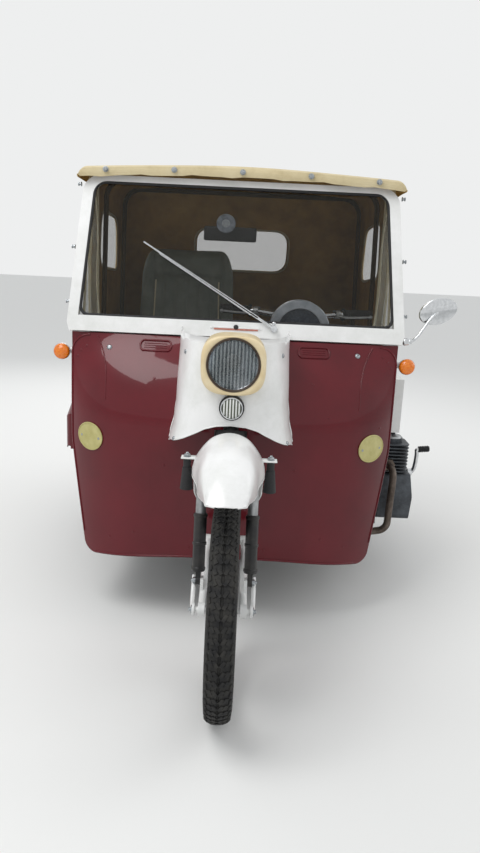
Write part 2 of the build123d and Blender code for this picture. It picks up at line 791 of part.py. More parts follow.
with BuildPart() as screen_frame:
    with BuildSketch(screen_plane.offset(-screen_depth)):
        with BuildLine():
            Polyline(
                (-screen_foot_half, 0),
                (screen_foot_half, 0),
                (screen_foot_half + 8.0, up_screen(945.0)),
                (screen_top_half, up_screen(screen_top_z)),
                (-screen_top_half, up_screen(screen_top_z)),
                (-screen_foot_half - 8.0, up_screen(945.0)),
                close=True,
            )
        make_face()
        fillet(outline_top(vertices()), 60.0)
    extrude(amount=screen_depth)
    add(pane_outline(0.0))
    extrude(amount=60.0, dir=screen_plane.z_dir, both=True, mode=Mode.SUBTRACT)
write(screen_frame.part, "windscreen_frame")

with BuildPart() as pane:
    add(pane_outline(seat_gap))
    extrude(amount=glass, dir=screen_plane.z_dir)
write(pane.part, "windscreen_glass")

# Cowl: the two side walls behind the shield, joined under the screen by a shelf
cowl_wall_x = shield_half - 4.0
cowl_foot_x = shield_foot_half + 2.0
cowl_front_y = plan_end_y + 7.0
shelf_z = band_z - screen_depth * sin(lean) - seat_gap
with BuildPart() as cowl:
    with BuildSketch(Plane.XZ.offset(-cowl_front_y)):
        with BuildLine():
            outer = Polyline((cowl_wall_x + sheet, shelf_z), (cowl_wall_x + sheet, 560.0),
                             (cowl_foot_x + sheet, rail_top_z + 8.0))
            inner = Polyline((cowl_wall_x, shelf_z), (cowl_wall_x, 560.0), (cowl_foot_x, rail_top_z + 8.0))
            Line(outer @ 0, inner @ 0)
            Line(outer @ 1, inner @ 1)
        make_face()
        mirror(about=Plane.YZ)
    extrude(amount=-(cowl_back_y - cowl_front_y))
    add(block((-cowl_wall_x, cowl_wall_x), (cowl_front_y, cowl_back_y), (shelf_z - sheet, shelf_z)))

# Parcel tray hung under the shelf on the passenger's side
tray_x = (-470.0, -60.0)
tray_z = (800.0, shelf_z - 1.0)
with BuildPart() as tray:
    add(block(tray_x, (cowl_front_y + 10.0, cowl_back_y + 40.0), tray_z))
    add(block((tray_x[0] + sheet, tray_x[1] - sheet), (cowl_front_y + 10.0 + sheet, cowl_back_y + 50.0),
              (tray_z[0] + sheet, tray_z[1] - sheet)), mode=Mode.SUBTRACT)
with BuildPart() as dash:
    add(cowl.part)
    add(tray.part)
write(dash.part, "cowl")

# Round instrument standing on the shelf in front of the handlebar
pod_z = 942.0
pod_r = 100.0
with BuildPart() as pod:
    with BuildSketch(Plane.XZ.offset(-648.0)):
        with Locations((column_x, pod_z)):
            Circle(pod_r)
        with Locations((column_x, shelf_z + seat_gap - pod_r)):
            Rectangle(3 * pod_r, 2 * pod_r, mode=Mode.SUBTRACT)
    extrude(amount=-50.0)
write(pod.part, "instrument_pod")

# Floor pan on the chassis rails, behind the down tubes
floor_front_y = 532.0
with BuildPart() as floor:
    add(block((-floor_half, floor_half), (floor_front_y, 1250.0), (rail_top_z + seat_gap, rail_top_z + seat_gap + sheet)))
    for rib_x in (-380.0, -220.0, -140.0, 140.0, 220.0, 380.0):
        add(block((rib_x - 9.0, rib_x + 9.0), (560.0, 800.0), (rail_top_z + sheet, rail_top_z + sheet + 5.0)))

# Rear body: hollow sheet tub with a sloping tail and two wheel wells
tub_side = (
    # y, z
    (body_front_y, 300.0),
    (body_front_y, waist_z),
    (1648.0, waist_z),
    (body_rear_y, 560.0),
    (body_rear_y - 90.0, 300.0),
)
tail_roll_r = 36.0
tail_corner_r = 90.0
well_r = tyre_r + 62.0
seat_box_half = 440.0
seat_box_back_y = 1100.0


def tub_solid(inset):
    """The tub's side profile carried across its width, drawn in by one wall."""
    with BuildPart() as solid:
        with BuildSketch(across(0, 0, -body_half + inset)):
            with BuildLine():
                Polyline(*tub_side, close=True)
            make_face()
            fillet(vertices().sort_by(Axis.X)[-1], tail_roll_r)
            if inset:
                offset(amount=-inset)
        extrude(amount=2 * (body_half - inset))
        # outline from above, rounded at the two back corners
        with BuildSketch(Plane.XY.offset(tub_side[0][1] - 10.0)):
            with BuildLine():
                Polyline((-body_half + inset, body_front_y - 10.0), (-body_half + inset, body_rear_y - inset),
                         (body_half - inset, body_rear_y - inset), (body_half - inset, body_front_y - 10.0), close=True)
            make_face()
            fillet(vertices().group_by(Axis.Y)[-1], tail_corner_r - inset)
        extrude(amount=waist_z, mode=Mode.INTERSECT)
    return solid.part


def wells(grow):
    """The two spaces that the rear wheels turn in."""
    with BuildPart() as pair:
        for side_sign in (-1, 1):
            add(block(sorted((side_sign * (well_half - grow), side_sign * (wing_half + 60.0))),
                      (wheelbase - well_r - grow, wheelbase + well_r + grow), (200.0, well_top_z + grow)))
    return pair.part


tub_inside = tub_solid(sheet)
with BuildPart() as tub_core:
    add(tub_inside)
    add(wells(sheet), mode=Mode.SUBTRACT)
with BuildPart() as tub:
    add(tub_solid(0.0))
    add(tub_core.part, mode=Mode.SUBTRACT)
    add(wells(0.0), mode=Mode.SUBTRACT)
    # open top, inside the folded rim, and open front above the seat box
    add(block((-body_half + 24.0, body_half - 24.0), (body_front_y + 24.0, 1560.0), (waist_z - 40.0, waist_z + 40.0)),
        mode=Mode.SUBTRACT)
    add(block((-seat_box_half - 6.0, seat_box_half + 6.0), (body_front_y - 20.0, seat_box_back_y + 6.0),
              (280.0, waist_z + 40.0)), mode=Mode.SUBTRACT)
write(tub.part, "rear_body")

# Rear wings over the two back wheels, the left one shorter behind the engine
wing_low_z = 420.0
wing_roll_r = 34.0
wing_table = (
    # name, side, front y
    ("right", -1, body_front_y + 22.0),
    ("left", 1, 1134.0),
)


def wing_tail_y(z):
    """The rear face of the wings at one height."""
    return body_rear_y - 20.0 + 14.0 * (z - wing_low_z) / (540.0 - wing_low_z)


def wing_solid(side_sign, front_y, inset):
    """One wing's side outline carried out from the body, drawn in by one wall for its inside."""
    start_x = side_sign * (body_half + seat_gap)
    front_top = 560.0 + (front_y - body_front_y - 22.0) * 0.38
    with BuildPart() as solid:
        with BuildSketch(across(0, 0, start_x)):
            with BuildLine():
                Polyline((front_y, wing_low_z), (front_y, front_top), (1190.0, 668.0), (1640.0, 668.0),
                         (body_rear_y - 6.0, 540.0), (body_rear_y - 20.0, wing_low_z), close=True)
            make_face()
            if inset:
                offset(amount=-inset, kind=Kind.INTERSECTION)
        extrude(amount=side_sign * (wing_half - body_half - seat_gap - inset))
        outer_face = faces().sort_by(Axis.X)[-1 if side_sign > 0 else 0]
        rolled = outer_face.edges().filter_by(lambda edge: edge.center().Z > wing_low_z + 1.0)
        fillet(rolled, wing_roll_r - inset)
    return solid.part


for side_name, side_sign, front_y in wing_table:
    start_x = side_sign * (body_half + seat_gap)
    wing_inside = wing_solid(side_sign, front_y, sheet)
    below = block(sorted((start_x, side_sign * (wing_half - sheet))),
                  (front_y + sheet, body_rear_y - 30.0), (wing_low_z - 10.0, wing_low_z + 10.0))
    with BuildPart() as wing:
        add(wing_solid(side_sign, front_y, 0.0))
        add(wing_inside, mode=Mode.SUBTRACT)
        add(below, mode=Mode.SUBTRACT)
        with BuildSketch(across(wheelbase, tyre_r, start_x)):
            Circle(tyre_r + 36.0)
        extrude(amount=side_sign * (wing_half - body_half + 10.0), mode=Mode.SUBTRACT)
    write(wing.part, f"rear_wing_{side_name}")

# Hood: one fabric shell with its roof, sides and back, cut for the windows
hood_side = (
    # y, z
    (hood_front_y, 1408.0),
    (hood_front_y, 1440.0),
    (1000.0, roof_z + 6.0),
    (hood_rear_y - 10.0, roof_z - 16.0),
    (1640.0, waist_z + seat_gap),
    (hood_side_y, waist_z + seat_gap),
    (hood_side_y - 10.0, 1385.0),
)


def hood_solid(inset):
    """The hood's side profile across its width, rounded over at the roof's edges."""
    with BuildPart() as solid:
        with BuildSketch(across(0, 0, -600.0)):
            with BuildLine():
                Polyline(*hood_side, close=True)
            make_face()
            if inset:
                offset(amount=-inset, kind=Kind.INTERSECTION)
        extrude(amount=1200.0)
        with BuildSketch(Plane.XZ.offset(-500.0)):
            with BuildLine():
                Polyline((-518.0 + inset, waist_z - 20.0), (518.0 - inset, waist_z - 20.0),
                         (502.0 - inset, roof_z - 22.0 - inset))
                ThreePointArc((502.0 - inset, roof_z - 22.0 - inset), (0, roof_z + 8.0 - inset),
                              (-502.0 + inset, roof_z - 22.0 - inset))
                Line((-502.0 + inset, roof_z - 22.0 - inset), (-518.0 + inset, waist_z - 20.0))
            make_face()
            fillet(vertices().group_by(Axis.Y)[-1], 50.0 - inset)
        extrude(amount=-1400.0, mode=Mode.INTERSECT)
    return solid.part


side_window = (
    # y, z
    (900.0, 1075.0),
    (1250.0, 1045.0),
    (1270.0, 1240.0),
    (880.0, 1262.0),
)
rear_window_w = 390.0
rear_window_low_z = 1115.0
rear_window_high_z = 1280.0


def window_cutter(inset):
    """The hood's window openings, drawn in by one clearance."""
    with BuildPart() as cutter:
        with BuildSketch(across(0, 0, -560.0)):
            with BuildLine():
                Polyline(*side_window, close=True)
            make_face()
            fillet(vertices(), 45.0)
            if inset:
                offset(amount=-inset)
        extrude(amount=1120.0)
        with BuildSketch(Plane.XZ.offset(-1300.0)):
            with Locations((5.0, (rear_window_low_z + rear_window_high_z) / 2)):
                RectangleRounded(rear_window_w - 2 * inset, rear_window_high_z - rear_window_low_z - 2 * inset, 45.0)
        extrude(amount=-400.0)
    return cutter.part


hood_outer = hood_solid(0.0)
hood_inner = hood_solid(fabric)
hood_mouth = block((-518.0 + fabric + 4.0, 518.0 - fabric - 4.0), (hood_side_y - 20.0, 1600.0),
                   (waist_z - 20.0, waist_z + 30.0))
with BuildPart() as hood:
    add(hood_outer)
    add(hood_inner, mode=Mode.SUBTRACT)
    # open underneath and at the front edge of the sides
    add(hood_mouth, mode=Mode.SUBTRACT)
    with BuildSketch(Plane.XZ.offset(-hood_side_y + 60.0)):
        with BuildLine():
            Polyline((-510.0 + fabric, waist_z + 24.0), (510.0 - fabric, waist_z + 24.0),
                     (498.0 - fabric, 1398.0), (-498.0 + fabric, 1398.0), close=True)
        make_face()
    extrude(amount=-120.0, mode=Mode.SUBTRACT)
    with BuildSketch(Plane.XZ.offset(-hood_front_y + 20.0)):
        with Locations((0, 1398.0)):
            Rectangle(1000.0, 60.0)
    extrude(amount=-160.0, mode=Mode.SUBTRACT)
    add(window_cutter(0.0), mode=Mode.SUBTRACT)
write(hood.part, "hood_canopy")

# Clear film: the hood's windows and the weather curtains between the windscreen and the hood's sides
curtain_x = 494.0


def screen_back_y(z):
    """The windscreen frame's back face at one height."""
    return screen_y + (z - band_z) * tan(lean) + screen_depth / cos(lean)


with BuildPart() as panes:
    add(hood_outer)
    add(hood_inner, mode=Mode.SUBTRACT)
    add(window_cutter(seat_gap), mode=Mode.INTERSECT)
with BuildPart() as windows:
    add(panes.part)
    for side_sign in (-1, 1):
        with BuildSketch(across(0, 0, side_sign * curtain_x)):
            with BuildLine():
                Polyline((screen_back_y(940.0) + seat_gap, 940.0), (865.0, 940.0), (865.0, 1370.0),
                         (screen_back_y(1370.0) + seat_gap, 1370.0), close=True)
            make_face()
        extrude(amount=-side_sign * clear_film)
write(windows.part, "clear_windows")

# Hood bows: two tube hoops inside the fabric
with BuildPart() as bows:
    for bow_y in (960.0, 1360.0):
        add(tube([
            (-495.0, bow_y, waist_z + seat_gap),
            (-482.0, bow_y, 1420.0),
            (482.0, bow_y, 1420.0),
            (495.0, bow_y, waist_z + seat_gap),
        ], 9.0, bend=70.0))
write(bows.part, "hood_bows")

# Seats: a low driver's seat on the left and a tall bucket seat on the right
seat_table = (
    # name, centre x, width, back top z
    ("passenger", -200.0, 430.0, 1200.0),
    ("driver", 218.0, 394.0, 820.0),
)
seat_box_top = 420.0
cushion_top = 520.0
cushion_y = (790.0, 1100.0)
back_y = 1060.0
back_t = 80.0
back_slope = 0.12
for seat_name, seat_x, seat_w, back_top in seat_table:
    with BuildPart() as cushion:
        with BuildSketch(Plane.XY.offset(seat_box_top + seat_gap)):
            with Locations((seat_x, (cushion_y[0] + cushion_y[1]) / 2)):
                RectangleRounded(seat_w, cushion_y[1] - cushion_y[0], 60.0)
        extrude(amount=cushion_top - seat_box_top - seat_gap)
        fillet(faces().sort_by(Axis.Z)[-1].edges(), 18.0)
    tall = back_top - cushion_top + 40.0
    with BuildPart() as back:
        with BuildSketch(Plane(origin=(seat_x, back_y, cushion_top - 40.0), x_dir=(1, 0, 0), z_dir=(0, -1, back_slope))):
            with BuildLine():
                Polyline((-seat_w / 2, 0), (seat_w / 2, 0), (seat_w / 2 - 30.0, tall), (-seat_w / 2 + 30.0, tall),
                         close=True)
            make_face()
            fillet(vertices().group_by(Axis.Y)[-1], 90.0)
        extrude(amount=-back_t)
        fillet(faces().sort_by(Axis.Y)[0].edges(), 20.0)
        add(block((seat_x - seat_w, seat_x + seat_w), (900.0, 1300.0), (cushion_top - 80.0, cushion_top + seat_gap)),
            mode=Mode.SUBTRACT)
    with BuildPart() as seat:
        add(cushion.part)
        add(back.part)
    write(seat.part, f"{seat_name}_seat")

with BuildPart() as seat_box:
    add(block((-seat_box_half, seat_box_half), (822.0, seat_box_back_y), (rail_top_z + sheet, seat_box_top)))
    add(block((-seat_box_half + sheet, seat_box_half - sheet), (822.0 + sheet, seat_box_back_y - sheet),
              (rail_top_z, seat_box_top - sheet)), mode=Mode.SUBTRACT)
with BuildPart() as floor_pan:
    add(floor.part)
    add(seat_box.part)
write(floor_pan.part, "floor_pan")

# Engine: crankcase block with its finned cylinder, outside on the left ahead of the back wheel
engine_x = (engine_inner_x, 688.0)
with BuildPart() as crankcase:
    with BuildSketch(across(0, 0, engine_x[0])):
        with BuildLine():
            Polyline((870.0, 222.0), (1070.0, 222.0), (1096.0, 300.0), (1040.0, 392.0), (900.0, 392.0),
                     (846.0, 320.0), close=True)
        make_face()
        fillet(vertices(), 24.0)
    extrude(amount=engine_x[1] - engine_x[0])

fin_count = 9
with BuildPart() as engine:
    add(crankcase.part)
    with BuildSketch(Plane.XY.offset(380.0)):
        with Locations((620.0, 966.0)):
            Circle(38.0)
    extrude(amount=143.0)
    for fin in range(fin_count):
        with BuildSketch(Plane.XY.offset(398.0 + 13.0 * fin)):
            with Locations((620.0, 966.0)):
                RectangleRounded(116.0, 116.0, 22.0)
        extrude(amount=4.0)
write(engine.part, "engine")

with BuildPart() as kick:
    add(tube([(engine_x[1] + seat_gap, 960.0, 385.0), (708.0, 960.0, 385.0), (712.0, 930.0, 484.0)], 8.0, bend=10.0))
    add(tube([(698.0, 930.0, 486.0), (756.0, 930.0, 492.0)], 10.0))
write(kick.part, "kick_starter")

with BuildPart() as engine_panel:
    add(block((body_half + seat_gap, 636.0), (body_front_y, body_front_y + sheet), (548.0, 752.0)))
    add(block((633.0, 636.0), (body_front_y, 1130.0), (548.0, 752.0)))
    add(block((body_half + seat_gap, 636.0), (body_front_y, 1130.0), (749.0, 752.0)))
write(engine_panel.part, "engine_panel")

# Exhaust: header pipe and silencer under the left side
with BuildPart() as exhaust:
    add(tube([(600.0, 908.0 - seat_gap, 430.0), (600.0, 800.0, 430.0), (590.0, 790.0, 210.0), (400.0, 830.0, 160.0),
              (400.0, 1150.0, 160.0)], 13.0, bend=40.0))
    with BuildSketch(Plane.XZ.offset(-1150.0)):
        with Locations((400.0, 160.0)):
            Circle(36.0)
    extrude(amount=-420.0)
write(exhaust.part, "exhaust")

# Rear swing arms with their stub axles, and the suspension units above them
arm_x = 447.0
arm_r = 15.0
arm_pivot = (1130.0, 262.0)
unit_y = 1395.0
unit_r = 18.0
unit_foot_z = (arm_pivot[1] + (tyre_r - arm_pivot[1]) * (unit_y - arm_pivot[0]) / (wheelbase - arm_pivot[0])
               + arm_r + 1.0)
axle_shoulder_x = track / 2 + hub_w / 2 + 4.0
axle_end_r = 6.0
axle_end_l = 12.0
with BuildPart() as rear_arms:
    for side_sign in (-1, 1):
        inner_x = side_sign * arm_x
        add(tube([(inner_x, *arm_pivot), (inner_x, wheelbase, tyre_r)], arm_r))
        with BuildSketch(across(wheelbase, tyre_r, inner_x)):
            Circle(axle_r)
        extrude(amount=side_sign * (axle_shoulder_x - arm_x))
        # the axle's turned-down end
        with BuildSketch(across(wheelbase, tyre_r, side_sign * axle_shoulder_x)):
            Circle(axle_end_r)
        extrude(amount=side_sign * axle_end_l)
        with BuildSketch(across(wheelbase, tyre_r, inner_x)):
            Circle(24.0)
        extrude(amount=side_sign * (track / 2 - hub_w / 2 - 6.0 - arm_x))
        with BuildSketch(across(*arm_pivot, side_sign * (rail_x - rail_w / 2))):
            Circle(14.0)
        extrude(amount=side_sign * (arm_x + 16.0 - rail_x + rail_w / 2))

with BuildPart() as rear_suspension:
    add(rear_arms.part)
    for side_sign in (-1, 1):
        with BuildSketch(Plane.XY.offset(unit_foot_z)):
            with Locations((side_sign * arm_x, unit_y)):
                Circle(unit_r)
        extrude(amount=well_top_z - seat_gap - unit_foot_z)
write(rear_suspension.part, "rear_suspension")

# Lamps, plate holder, discs, indicators, wiper and mirrors
indicator_x = 558.0
indicator_y = 596.0
indicator_z = 848.0
indicator_r = 26.0
with BuildPart() as indicators:
    for side_sign in (-1, 1):
        # foot on the cowl's side, and a shell that tapers to the rear behind the round lens
        with BuildSketch(across(indicator_y + 26.0, indicator_z, side_sign * (cowl_wall_x + sheet + seat_gap))):
            Circle(14.0)
        extrude(amount=side_sign * 30.0)
        for y, radius in ((indicator_y, indicator_r), (indicator_y + 46.0, 15.0)):
            with BuildSketch(Plane.XZ.offset(-y)):
                with Locations((side_sign * indicator_x, indicator_z)):
                    Circle(radius)
        loft()
        with BuildSketch(Plane.XZ.offset(-indicator_y)):
            with Locations((side_sign * indicator_x, indicator_z)):
                Circle(indicator_r)
        extrude(amount=16.0)
write(indicators.part, "front_indicators")

tail_lamp_x = 567.0
tail_lamp_z = 466.0
tail_lamp_w = 62.0
tail_lamp_h = 76.0
with BuildPart() as tail_lamps:
    for side_sign in (-1, 1):
        with BuildSketch(Plane(origin=(side_sign * tail_lamp_x, wing_tail_y(tail_lamp_z) + seat_gap, tail_lamp_z),
                               x_dir=(1, 0, 0), z_dir=(0, 540.0 - wing_low_z, -14.0))):
            RectangleRounded(tail_lamp_w, tail_lamp_h, 14.0)
        extrude(amount=34.0)
write(tail_lamps.part, "tail_lamps")


# Blank number-plate holder on the sloping tail
tail_rise = Vector(0, tub_side[2][0] - tub_side[3][0], tub_side[2][1] - tub_side[3][1])
plate_centre = Vector(0, *tub_side[3]) + tail_rise * 0.5
tail_out = Vector(0, -tail_rise.Z, tail_rise.Y).normalized() * -1.0
with BuildPart() as plate_holder:
    with BuildSketch(Plane(origin=plate_centre + tail_out * seat_gap, x_dir=(1, 0, 0), z_dir=tail_out)):
        RectangleRounded(240.0, 200.0, 8.0)
    extrude(amount=sheet)
write(plate_holder.part, "plate_holder")


def on_screen(x, z, out):
    """A point at a stated distance out from the windscreen frame's front face."""
    return screen_plane.from_local_coords(Vector(x, up_screen(z), out))


wiper_foot = (121.0, 950.0)
wiper_tip = (-304.0, 1200.0)
with BuildPart() as wiper:
    with BuildSketch(Plane(origin=on_screen(*wiper_foot, seat_gap), x_dir=(1, 0, 0), z_dir=screen_plane.z_dir)):
        Circle(9.0)
    extrude(amount=16.0)
    add(tube([on_screen(*wiper_foot, 13.0), on_screen(*wiper_tip, 9.0)], 3.5))
write(wiper.part, "wiper")

cup_r = 31.0
cup_place = (-47.0, 1275.0)
pane_back = screen_depth / 2 + glass / 2
with BuildPart() as cabin_mirror:
    cup = Plane(origin=on_screen(*cup_place, -pane_back - seat_gap), x_dir=(1, 0, 0), z_dir=screen_plane.z_dir)
    with BuildSketch(cup):
        Circle(cup_r)
    extrude(amount=-9.0)
    add(tube([on_screen(*cup_place, -pane_back - 6.0), (-40.0, 716.0, 1250.0)], 7.0))
    with BuildSketch(Plane.XZ.offset(-708.0)):
        with Locations((-33.0, 1240.0)):
            RectangleRounded(172.0, 46.0, 10.0)
    extrude(amount=-16.0)
write(cabin_mirror.part, "cabin_mirror")

# Door mirror on a bent rod
mirror_centre = (646.0, 606.0, 1028.0)
with BuildPart() as door_mirror:
    add(tube([(screen_foot_half + 5.9, 590.0, 930.0), (560.0, 590.0, 932.0), (582.0, 594.0, 944.0),
              (612.0, 600.0, 992.0), (640.0, 604.0, 1022.0)], 5.0, bend=12.0))
    with BuildSketch(Plane(origin=mirror_centre, x_dir=(cos(radians(20.0)), 0, sin(radians(20.0))),
                           z_dir=(0, -1, 0))):
        Ellipse(62.0, 41.0)
    extrude(amount=-18.0)
write(door_mirror.part, "door_mirror")
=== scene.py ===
"""Looks of a light two-seat three-wheeler with a moped front end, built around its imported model."""
from math import cos, exp, pi, radians, sin, tan

import bpy
from mathutils import Matrix, Vector


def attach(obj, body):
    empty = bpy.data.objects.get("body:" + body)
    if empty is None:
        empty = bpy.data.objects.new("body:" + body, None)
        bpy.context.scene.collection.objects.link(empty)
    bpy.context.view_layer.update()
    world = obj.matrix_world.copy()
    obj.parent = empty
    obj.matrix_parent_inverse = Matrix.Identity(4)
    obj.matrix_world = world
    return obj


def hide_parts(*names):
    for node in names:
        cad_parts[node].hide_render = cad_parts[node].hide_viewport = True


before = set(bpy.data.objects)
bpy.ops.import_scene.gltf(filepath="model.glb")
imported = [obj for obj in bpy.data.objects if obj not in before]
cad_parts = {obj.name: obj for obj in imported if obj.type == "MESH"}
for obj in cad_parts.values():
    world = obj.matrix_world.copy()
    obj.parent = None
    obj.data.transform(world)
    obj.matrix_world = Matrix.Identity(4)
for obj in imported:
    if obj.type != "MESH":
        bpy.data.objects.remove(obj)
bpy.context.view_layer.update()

# Tyres: three 2.75-16 moped tyres of black rubber, moulded with a central groove and rows of
# slanting blocks out to the shoulders, with a rim line on the walls. They carry grey road dust.


def mm(*values):
    """Millimetres as Blender's metres, one length or a point."""
    return values[0] / 1000 if len(values) == 1 else Vector([value / 1000 for value in values])


def begin(kind, name, **settings):
    """Adds one mesh primitive with nothing else selected and keeps its place in its mesh."""
    bpy.ops.object.select_all(action="DESELECT")
    getattr(bpy.ops.mesh, "primitive_" + kind + "_add")(**settings)
    piece = bpy.context.object
    piece.name = name
    bpy.ops.object.transform_apply(location=True, rotation=True, scale=True)
    return piece


def hold(piece):
    """Makes one piece the active and only selected one."""
    bpy.ops.object.select_all(action="DESELECT")
    bpy.context.view_layer.objects.active = piece
    piece.select_set(True)
    return piece


def smooth(piece, angle=35):
    """Rounds the shading over all edges flatter than an angle."""
    hold(piece)
    bpy.ops.object.shade_smooth_by_angle(angle=radians(angle))
    return piece


def edit(piece, *moves):
    """Runs edit-mode operators one after another, each on all of a piece."""
    hold(piece)
    bpy.ops.object.mode_set(mode="EDIT")
    for name, settings in moves:
        bpy.ops.mesh.select_all(action="SELECT")
        getattr(bpy.ops.mesh, name)(**settings)
    bpy.ops.object.mode_set(mode="OBJECT")
    return piece


def merged(piece, reach=0.05):
    """Joins points of a piece closer than a reach and turns its faces outwards."""
    return edit(piece, ("remove_doubles", {"threshold": mm(reach)}),
                ("normals_make_consistent", {"inside": False}))


def lathe(name, profile, base=(0, 0, 0), along=(0, 0, 1), steps=48):
    """Spins a profile of (radius, distance along) round an axis through a base point, in millimetres."""
    bpy.ops.object.select_all(action="DESELECT")
    bpy.ops.mesh.primitive_plane_add(size=0.01)
    piece = bpy.context.object
    piece.name = name
    bpy.ops.object.mode_set(mode="EDIT")
    bpy.ops.mesh.merge(type="CENTER")
    bpy.ops.transform.translate(value=mm(profile[0][0], 0, profile[0][1]))
    for (radius, height), (next_radius, next_height) in zip(profile, profile[1:]):
        bpy.ops.mesh.extrude_vertices_move(
            TRANSFORM_OT_translate={"value": mm(next_radius - radius, 0, next_height - height)})
    bpy.ops.object.mode_set(mode="OBJECT")
    edit(piece, ("spin", {"steps": steps, "angle": 2 * pi, "center": (0, 0, 0), "axis": (0, 0, 1)}))
    merged(piece, 0.001)
    piece.rotation_euler = Vector(along).to_track_quat("Z", "Y").to_euler()
    piece.location = mm(*base)
    bpy.ops.object.transform_apply(location=True, rotation=True, scale=True)
    return smooth(piece)


def joined(name, pieces):
    """Several like pieces as one."""
    hold(pieces[0])
    for piece in pieces:
        piece.select_set(True)
    bpy.ops.object.join()
    pieces[0].name = name
    return pieces[0]


def twin(piece, name, change):
    """A copy with its own mesh, moved or mirrored by a matrix."""
    copy = piece.copy()
    copy.data = piece.data.copy()
    copy.name = name
    bpy.context.scene.collection.objects.link(copy)
    copy.data.transform(change)
    if change.determinant() < 0:
        copy.data.flip_normals()
    return copy


def mount(piece, body, slot, *replaced):
    """Attaches a piece to the body that it moves with and hides the CAD nodes that it stands for; slot is
    not used.
    """
    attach(piece, body)
    if replaced:
        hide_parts(*replaced)


def fit(piece, body, stuff, slot, *replaced):
    """Gives a piece its finish, the body that it moves with and what it stands for."""
    piece.data.materials.clear()
    piece.data.materials.append(stuff)
    mount(piece, body, slot, *replaced)


def linear(code):
    """An sRGB hex colour as the linear numbers that a shader takes."""
    parts = [int(code[i:i + 2], 16) / 255 for i in (1, 3, 5)]
    return [p / 12.92 if p <= 0.04045 else ((p + 0.055) / 1.055) ** 2.4 for p in parts] + [1]


def finish(name):
    """An empty material for one real finish."""
    made = bpy.data.materials.new(name)
    made.use_nodes = True
    made.node_tree.nodes.clear()
    return made


def shade(made, kind, sockets=None, stops=(), **settings):
    """Adds one node to a finish. Sockets hold values or the outputs that feed them, stops are a
    ramp's places and hex colours, and settings are the node's own."""
    node = made.node_tree.nodes.new("ShaderNode" + kind)
    for number, (place, code) in enumerate(stops):
        if number > 1:
            node.color_ramp.elements.new(place)
        node.color_ramp.elements[number].position = place
        node.color_ramp.elements[number].color = linear(code)
    for key, value in settings.items():
        setattr(node, key, value)
    for key, value in (sockets or {}).items():
        if isinstance(value, bpy.types.NodeSocket):
            made.node_tree.links.new(value, node.inputs[key])
        else:
            node.inputs[key].default_value = value
    return node


def coat(name, pattern, stops, skin, raised=None, stretch=None, kind="TexNoise", **settings):
    """A finish whose grey pattern is coloured between stops, with the shader's own values as skin.
    Raised gives a bump's strength and distance, and its own finer pattern where it has one."""
    made = finish(name)
    where = shade(made, "TexCoord").outputs["Object"]
    if stretch:
        where = shade(made, "Mapping", {"Vector": where, "Scale": stretch}).outputs["Vector"]
    grain = shade(made, kind, {"Vector": where, **pattern}, **settings)
    grey = {"TexNoise": "Fac", "TexWave": "Fac", "TexVoronoi": "Distance"}
    tone = shade(made, "ValToRGB", {"Fac": grain.outputs[grey[kind]]}, stops)
    if raised:
        if len(raised) > 2:
            kind = raised[3] if len(raised) > 3 else "TexNoise"
            grain = shade(made, kind, {"Vector": where, **raised[2]})
        lift = shade(made, "Bump", {"Height": grain.outputs[grey[kind]], "Strength": raised[0],
                                    "Distance": raised[1]})
        skin["Normal"] = lift.outputs["Normal"]
    surface = shade(made, "BsdfPrincipled", {"Base Color": tone.outputs["Color"], **skin})
    shade(made, "OutputMaterial", {"Surface": surface.outputs["BSDF"]})
    return made


# Tyre rubber is matt black, greyed by dust in broad patches.
rubber = coat(
    "moulded_tyre_rubber", {"Scale": 38, "Detail": 8, "Roughness": 0.65},
    ((0.4, "#1e1e1f"), (0.85, "#413f3a")), {"Roughness": 0.78, "Specular IOR Level": 0.35},
    raised=(0.35, 0.0006, {"Scale": 900, "Detail": 3}))

tyre_half = [(203.2, -22.5), (212, -27.5), (214, -29.2), (217, -29), (226, -33), (239, -35.6),
             (252, -34.2), (261, -29.5), (267.5, -21.5), (270.8, -12), (271.8, -4), (268.2, -2.8)]
casing = lathe("tyre_casing", tyre_half + [(r, -x) for r, x in reversed(tyre_half)] + [(203.2, -22.5)],
               along=(1, 0, 0), steps=120)
blocks_round = 66
tread = []
# place across, height of the casing there, lean of the casing, width, length, slant in the tread
block_rows = ((8, 271.6, 4, 8.6, 17, 32), (19, 268.8, 22, 10.5, 15, 24), (28.6, 262.6, 48, 7.5, 14, 12))
for side in (-1, 1):
    for x, height, lean, width, length, slant in block_rows:
        block = begin("cube", "tread_block", size=1, scale=mm(width, length, 4.4))
        edit(block, ("bevel", {"offset": mm(0.7), "segments": 1, "affect": "EDGES"}))
        tilt = Matrix.Rotation(radians(side * lean), 4, "Y")
        slanted = Matrix.Rotation(radians(-side * slant), 4, "Z")
        step = Matrix.Rotation(pi / blocks_round * (1 if abs(x) > 25 else 0), 4, "X")
        block.data.transform(step @ Matrix.Translation(mm(side * x, 0, height)) @ tilt @ slanted)
        tread.append(block)
turn = {"steps": blocks_round - 1, "dupli": True, "angle": 2 * pi * (blocks_round - 1) / blocks_round}
tread = edit(joined("tyre_tread", tread), ("spin", {**turn, "center": (0, 0, 0), "axis": (1, 0, 0)}))
tyre = joined("front_tyre_tread", [casing, tread])
axle_height = 275
wheel_places = (("front", 0, 0), ("rear_right", -520, 1450), ("rear_left", 520, 1450))
for wheel, wheel_x, wheel_y in wheel_places:
    made = twin(tyre, wheel + "_moulded_tyre", Matrix.Translation(mm(wheel_x, wheel_y, axle_height)))
    fit(made, wheel + "_wheel", rubber, "tyre_rubber", wheel + "_tyre")
bpy.data.objects.remove(tyre)

# Wheel rims, hubs and spokes: dull anodised alloy rims and hubs with zinc-plated spokes, and
# alloy valve stems. Cooling ribs run round each drum.


